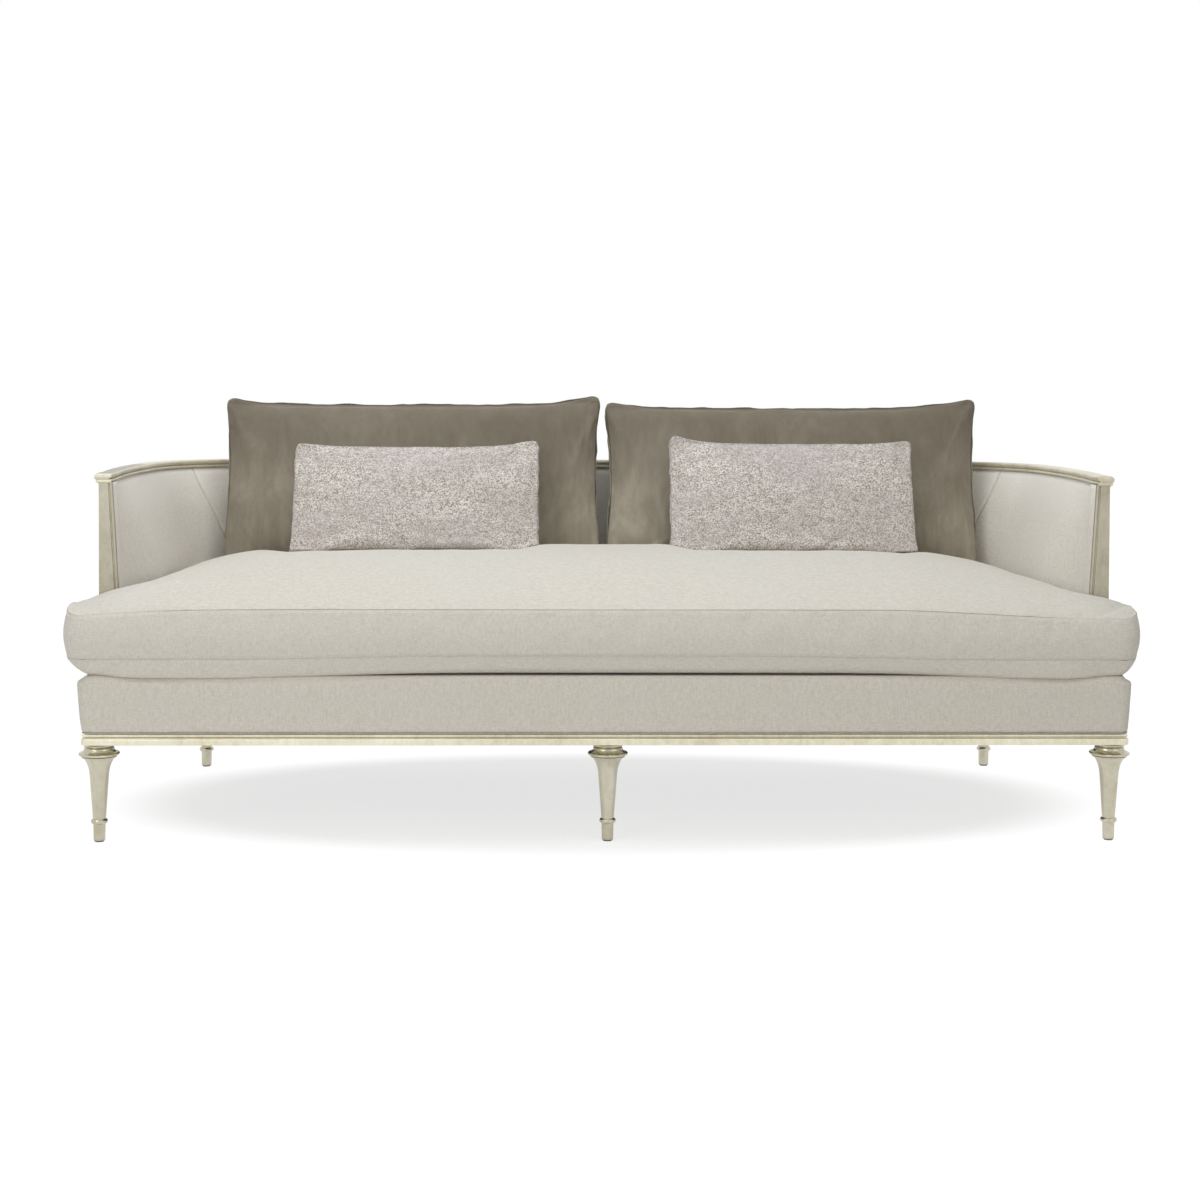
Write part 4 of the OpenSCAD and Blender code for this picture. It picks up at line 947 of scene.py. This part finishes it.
def standing_shape(c, side, cuts):
    lean = math.atan((c["head"][0] - c["foot"][0]) / (c["head"][1] - c["foot"][1]))
    wide, tall = c["width"] / 2, (c["head"][1] - c["foot"][1]) / 2
    s_at, t_at = spaced(cuts[0] + 1, wide), spaced(cuts[1] + 1, tall)
    steep, soft = c["full"]

    def shape(s, t, w):
        s, t = s_at[round((s + 1) / 2 * (cuts[0] + 1))], t_at[round((t + 1) / 2 * (cuts[1] + 1))]
        inside = max(0.0, (1 - abs(s) ** steep) * (1 - abs(t) ** steep))
        plump = c["edge"] + (c["middle"] - c["edge"]) * inside ** soft
        x, z = rounded(s * wide, t * tall, wide, tall, c["corner"][0 if t > 0 else 1])
        s, t = x / wide, z / tall
        hand = 0 if s < 0 else 1
        ear = c["ears"][side][hand] * abs(s) ** c["ear_power"][side][hand]
        half = wide - c["pull"] * (1 - t * t)
        spread = c["spread"][side][hand] * max(0.0, t) ** 6
        half += spread + c["splay"][side][hand] * max(0.0, -t) ** c["splay_power"]
        x = CUSHION_SHIFT + side * c["centre"] + s * half
        tau = (t + 1) / 2
        y = mix(c["foot"][0], c["head"][0], tau)
        foot = min(seat_top(x, c["foot"][0]) + ON_SEAT + c["crown"] * (1 - s * s),
                   c["foot"][1] + 0.006)
        z = mix(foot, c["mid"][side] + ear, tau) + w * plump * math.sin(lean)
        p = Vector((x, y - w * plump * math.cos(lean), z))
        p.z = max(p.z, seat_top(p.x, p.y) + ON_SEAT)
        return p
    return shape, lean


def standing_cushion(node, c, side, cuts, skin, seed, spare, cap):
    shape, lean = standing_shape(c, side, cuts)
    bm, unit = quad_box(cuts, shape, flip=True)
    front = Vector((0, -math.cos(lean), math.sin(lean)))
    for v, q in zip(bm.verts, unit):
        if is_rim(q):
            out_dir = v.normal - front * v.normal.dot(front)
            if out_dir.length > 1e-6 and q.y > -EDGE:
                out_dir.normalize()
                waves = c["crimp"] * ripple(v.co, 0.075, seed)
                finer = 0.5 * c["crimp"] * ripple(v.co, 0.03, seed + 1)
                v.co += out_dir * (c["bulge"] * math.cos(q.z * math.pi / 2) + waves + finer)
    bm.normal_update()
    seams = set(seam_indices(unit))
    for i, v in enumerate(bm.verts):
        if i not in seams:
            v.co -= v.normal * CUSHION_SLIM
    obj = piece(node + "_cover", bm, skin)
    moved = stuff(obj, sorted(seams), pressure=4.0, spare=spare, cap=cap, bend=0.25)
    for v in obj.data.vertices:
        v.co.z = max(v.co.z, seat_top(v.co.x, v.co.y) + 0.002)
    obj.data.update()
    fit(obj, node, node)
    print(node, "blown by", round(moved, 4), "before the cap")
    return obj, unit


PIPING_R = 0.0030


def edge_piping(name, obj, unit, face, node):
    """A velvet piping round one face, half sunk in its seam."""
    loop = [obj.data.vertices[i] for i in seam_order(unit, face)]
    cord = piping(name, [v.co + v.normal * PIPING_R * 0.5 for v in loop], PIPING_R, velvet_cord_painted_highlight)
    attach(cord, node)


for side, label, seed in ((-1, "left", 11), (1, "right", 23)):
    node = "back_cushion_" + label
    obj, unit = standing_cushion(node, BACK, side, (112, 56, 5), taupe_velvet, seed,
                                 spare=0.035, cap=0.012)
    for face, where in ((1, "front"), (-1, "back")):
        edge_piping(f"{node}_{where}_piping", obj, unit, face, node)
    # The back cushions' seams get a wide band of dark painted shade.
    sew(obj, [(seam_indices(unit), 1.0)], width=0.0055, depth=0.0022, segments=4)

for side, label, seed in ((-1, "left", 31), (1, "right", 43)):
    obj, unit = standing_cushion("lumbar_pillow_" + label, PILLOW, side, (84, 42, 3),
                                 heather_chenille, seed, spare=0.03, cap=0.010)
    # The pillows' seams get a line of painted shade.
    sew(obj, [(seam_indices(unit), 0.7)], width=0.0016, depth=0.0012)

# %% [markdown]
# The tub's inside is lined with tight padding: one piece for each arm, which turns half of the rear
# bend, and one for the back. Each is a slab between the studs and the seat side. It is thin under
# the rail, swells quickly downwards, and its edges roll in to meet the next piece in a seam.

# %% Inside padding
PAD_FOOT, PAD_HEAD = 0.3355, 0.7405
BEND_L = (math.pi / 2 - ARM_A1) * BEND_R
FLAP, FLAP_THICK, FLAP_CUTS, STUD_FACE = 0.040, 0.0014, 6, 0.0225
SEAM_AT_RAIL, SEAM_SWING, SWING_OVER, SEAM_ROLL = 41, 18, 0.26, 0.004


def roll(distance, radius):
    """How far a rounded edge has sunk at a distance from the edge."""
    d = min(max(distance / radius, 0.0), 1.0)
    return radius * (1 - math.sqrt(1 - (1 - d) ** 2))


def seam_angle(z):
    """The seam in the rear bend leans: nearer the arm at the rail, nearer the back at the seat."""
    return math.radians(SEAM_AT_RAIL + SEAM_SWING * ease((PAD_HEAD - z) / SWING_OVER))


def wall_slab(name, station_of, reach_of, ends_of, cuts, seed, node, sewn_ends, flap=False):
    """A padded slab. ends_of gives the lengths it spans at a height, station_of the plan at a
    length, and reach_of the distance behind the post. Lengths below zero are the flap."""
    def shape(s, t, w):
        z = mix(PAD_FOOT, PAD_HEAD, (t + 1) / 2)
        first, last = ends_of(z)
        length = mix(first, last, (s + 1) / 2)
        if flap:
            k = round((s + 1) / 2 * (cuts[0] + 1))
            if k < FLAP_CUTS:
                length = mix(first, -0.0002, k / (FLAP_CUTS - 1))
            else:
                length = mix(0, last, (k - FLAP_CUTS) / (cuts[0] + 1 - FLAP_CUTS))
        station = station_of(length)
        if flap and length < 0:
            over, face = roll(length - first, FLAP_THICK) * 0.6, -post_width(z)
            return at(station, mix(face - TACK_GAP, face - FLAP_THICK + over, (w + 1) / 2), z)
        if w < -0.999:
            return at(station, -STUD_FACE, z)
        depth = pad_depth(reach_of(length), z)
        sink = roll(PAD_HEAD - z, 0.007) * 0.8
        for end in sewn_ends:
            sink += roll(length - first if end == 0 else last - length, SEAM_ROLL) * 0.35
        p = at(station, -depth + sink, z)
        wave = 0.0012 * ripple(p, 0.11, seed) + 0.0006 * ripple(p, 0.04, seed + 1)
        return at(station, mix(-STUD_FACE, -depth + sink + wave, (w + 1) / 2), z)

    frame_cover(name, cuts, shape, linen_inside_painted_light, node)


def side_of(station, side):
    return tuple(Vector((v.x * side, v.y, 0)) for v in station)


def inside_arm_station(d, side):
    if d < 0:
        return Vector((POST_HALF * side, POST_BACK_Y + d, 0)), Vector((side, 0, 0))
    return side_of(arm_and_bend(d), side)


def inside_arm_ends(z):
    return -FLAP, ARM_L + (seam_angle(z) - ARM_A1) * BEND_R - 0.0004


for side, label in ((-1, "left"), (1, "right")):
    wall_slab("inside_arm_cover_" + label, lambda d, side=side: inside_arm_station(d, side),
              lambda d: d, inside_arm_ends, (108, 44, 2), 51 + side, "inside_arm_" + label,
              (1,), flap=True)


def back_wall_station(d):
    """The plan at a length from the middle of the back, positive towards the right."""
    over = abs(d) - BEND_X
    side = 1 if d > 0 else -1
    if over <= 0:
        return Vector((d, BACK_Y, 0)), Vector((0, 1, 0))
    return side_of(bend_station(math.pi / 2 - over / BEND_R), side)


def back_wall_ends(z):
    half = BEND_X + (math.pi / 2 - seam_angle(z)) * BEND_R
    return -half, half


wall_slab("inside_back_cover", back_wall_station, lambda d: ARM_L, back_wall_ends, (150, 44, 2), 61,
          "inside_back", (0, 1))

# %% [markdown]
# The apron is a padded band over the front seat rail. It turns round both front corners and runs
# back to the posts, fuller near its soft top edge and slimmer at the foot.

# %% Apron
APRON_FOOT, APRON_TOP, APRON_R = 0.2323, DECK_TOP, 0.008
CORNER_L = APRON_R * math.pi / 2
FRONT_L = 2 * (POST_HALF - APRON_R)
RETURN_END = POST_BACK_Y - TACK_GAP
RETURN_L = RETURN_END - (FRONT_Y + APRON_R)


def apron_corner(side, a):
    n = Vector((math.cos(a), math.sin(a), 0))
    return Vector((side * (POST_HALF - APRON_R), FRONT_Y + APRON_R, 0)) + n * APRON_R, n


def apron_station(d):
    """From the left return's back end, round the front, to the right return's back end."""
    if d < RETURN_L:
        return Vector((-POST_HALF, RETURN_END - d, 0)), Vector((-1, 0, 0))
    d -= RETURN_L
    if d < CORNER_L:
        return apron_corner(-1, math.pi + d / APRON_R)
    d -= CORNER_L
    if d < FRONT_L:
        return Vector((-POST_HALF + APRON_R + d, FRONT_Y, 0)), Vector((0, -1, 0))
    d -= FRONT_L
    if d < CORNER_L:
        return apron_corner(1, -math.pi / 2 + d / APRON_R)
    d -= CORNER_L
    return Vector((POST_HALF, FRONT_Y + APRON_R + d, 0)), Vector((1, 0, 0))


APRON_L = 2 * RETURN_L + 2 * CORNER_L + FRONT_L
APRON_STEPS, TURN_STEPS = 300, 14


def apron_places():
    """Even places along the apron, closer together round the corners."""
    marks = [0, RETURN_L - 0.012, RETURN_L + CORNER_L + 0.012]
    marks += [APRON_L - m for m in reversed(marks)]
    turns = [TURN_STEPS, TURN_STEPS]
    counts = [*turns, APRON_STEPS - 4 * TURN_STEPS, *turns]
    places = [0.0]
    for a, b, n in zip(marks, marks[1:], counts):
        places += [mix(a, b, k / n) for k in range(1, n + 1)]
    return places


apron_at = apron_places()


def apron_shape(s, t, w):
    d = apron_at[round((s + 1) / 2 * (len(apron_at) - 1))]
    z = mix(APRON_FOOT, APRON_TOP, (t + 1) / 2)
    station = apron_station(d)
    up = (z - APRON_FOOT) / (APRON_TOP - APRON_FOOT)
    turned = abs(station[1].x)
    fuller = 0.003 if station[1].x > 0 else 0.006
    full = 0.011 + 0.005 * math.sin(math.pi / 2 * up) + fuller * turned * up ** 0.5
    soft_top = roll(APRON_TOP - z, mix(0.009, 0.015, turned)) * 0.85
    full -= soft_top + roll(z - APRON_FOOT, 0.004) * 0.7
    p = at(station, full, z)
    full += 0.0008 * ripple(p, 0.09, 71) + 0.0004 * ripple(p, 0.03, 72)
    p = at(station, mix(0.0005, full, (w + 1) / 2), z)
    fall = edge_drop(p.x) * (1 - turned) + 0.007 * ease((abs(p.x) - 1.042) / 0.030)
    p.z -= fall * (w + 1) / 2 * ease((z - APRON_TOP + 0.045) / 0.045)
    return p


frame_cover("apron_cover", (len(apron_at) - 2, 20, 1), apron_shape, linen_wall, "apron")

# %% [markdown]
# A fine welt closes the joint between the apron and the plinth. It is the same cord as a cushion's
# piping, only thinner, and it runs from one return's back end round the front to the other.

# %% Apron welt
WELT_R, WELT_OUT, WELT_END = 0.0014, 0.0105, 0.004
welt_line = [at(apron_station(d), WELT_OUT, APRON_FOOT + 0.0006)
             for d in apron_at if WELT_END < d < APRON_L - WELT_END]
apron_welt = piping("apron_welt", welt_line, WELT_R, linen_lining, closed=False)
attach(apron_welt, "frame")
print("welt of", len(welt_line), "points")

# %% [markdown]
# The outside of the tub is covered with thin padded panels, one round each arm and rear bend and
# one across the back. They are slim at their edges, where they are tacked, and fullest between.

# %% Outside panels
PANEL_FOOT, PANEL_HEAD = 0.2325, 0.7345


def outside_panel(name, station_of, length, cuts, seed, node):
    def shape(s, t, w):
        d, z = (s + 1) / 2 * length, mix(PANEL_FOOT, PANEL_HEAD, (t + 1) / 2)
        full = 0.005 + 0.003 * (1 - abs(t) ** 4) * (1 - abs(s) ** 6)
        full -= roll(PANEL_HEAD - z, 0.004) * 0.6 + roll(z - PANEL_FOOT, 0.004) * 0.6
        p = at(station_of(d), full, z)
        full += 0.0007 * ripple(p, 0.12, seed)
        return at(station_of(d), mix(TACK_GAP, full, (w + 1) / 2), z)

    frame_cover(name, cuts, shape, linen_wall, node)


def outside_back_station(d):
    return Vector((BEND_X - 0.0005 - d, BACK_Y, 0)), Vector((0, 1, 0))


for side, label in ((-1, "left"), (1, "right")):
    outside_panel("outside_arm_cover_" + label, lambda d, side=side: side_of(arm_and_bend(d), side),
                  ARM_L + BEND_L, (90, 30, 1), 81 + side, "outside_arm_" + label)
outside_panel("outside_back_cover", outside_back_station, 2 * BEND_X - 0.001, (100, 30, 1), 91,
              "outside_back")

# %% [markdown]
# The deck pad under the cushion and the dust cover under the frame are cut to their neighbours'
# shapes, so they are copies of the model's own solids with softened edges and cloth finishes.

# %% Deck pad and dust cover
def softened_copy(node, name, skin, width):
    bm = bmesh.new()
    bm.from_mesh(nodes[node].data)
    bmesh.ops.remove_doubles(bm, verts=bm.verts[:], dist=1e-5)
    bmesh.ops.dissolve_limit(bm, angle_limit=math.radians(1), verts=bm.verts[:], edges=bm.edges[:])
    rim = [e for e in bm.edges
           if len(e.link_faces) == 2 and e.calc_face_angle(0) > math.radians(60)]
    bmesh.ops.bevel(bm, geom=rim, offset=width, segments=3, profile=0.5, affect="EDGES",
                    material=-1)
    bmesh.ops.triangulate(bm, faces=[f for f in bm.faces if len(f.verts) > 4])
    fit(piece(name, bm, skin, smooth=False), node, "frame")


softened_copy("deck_pad", "deck_pad_cover", linen_lining, 0.004)
softened_copy("dust_cover", "dust_cover_cloth", black_cloth, 0.0003)
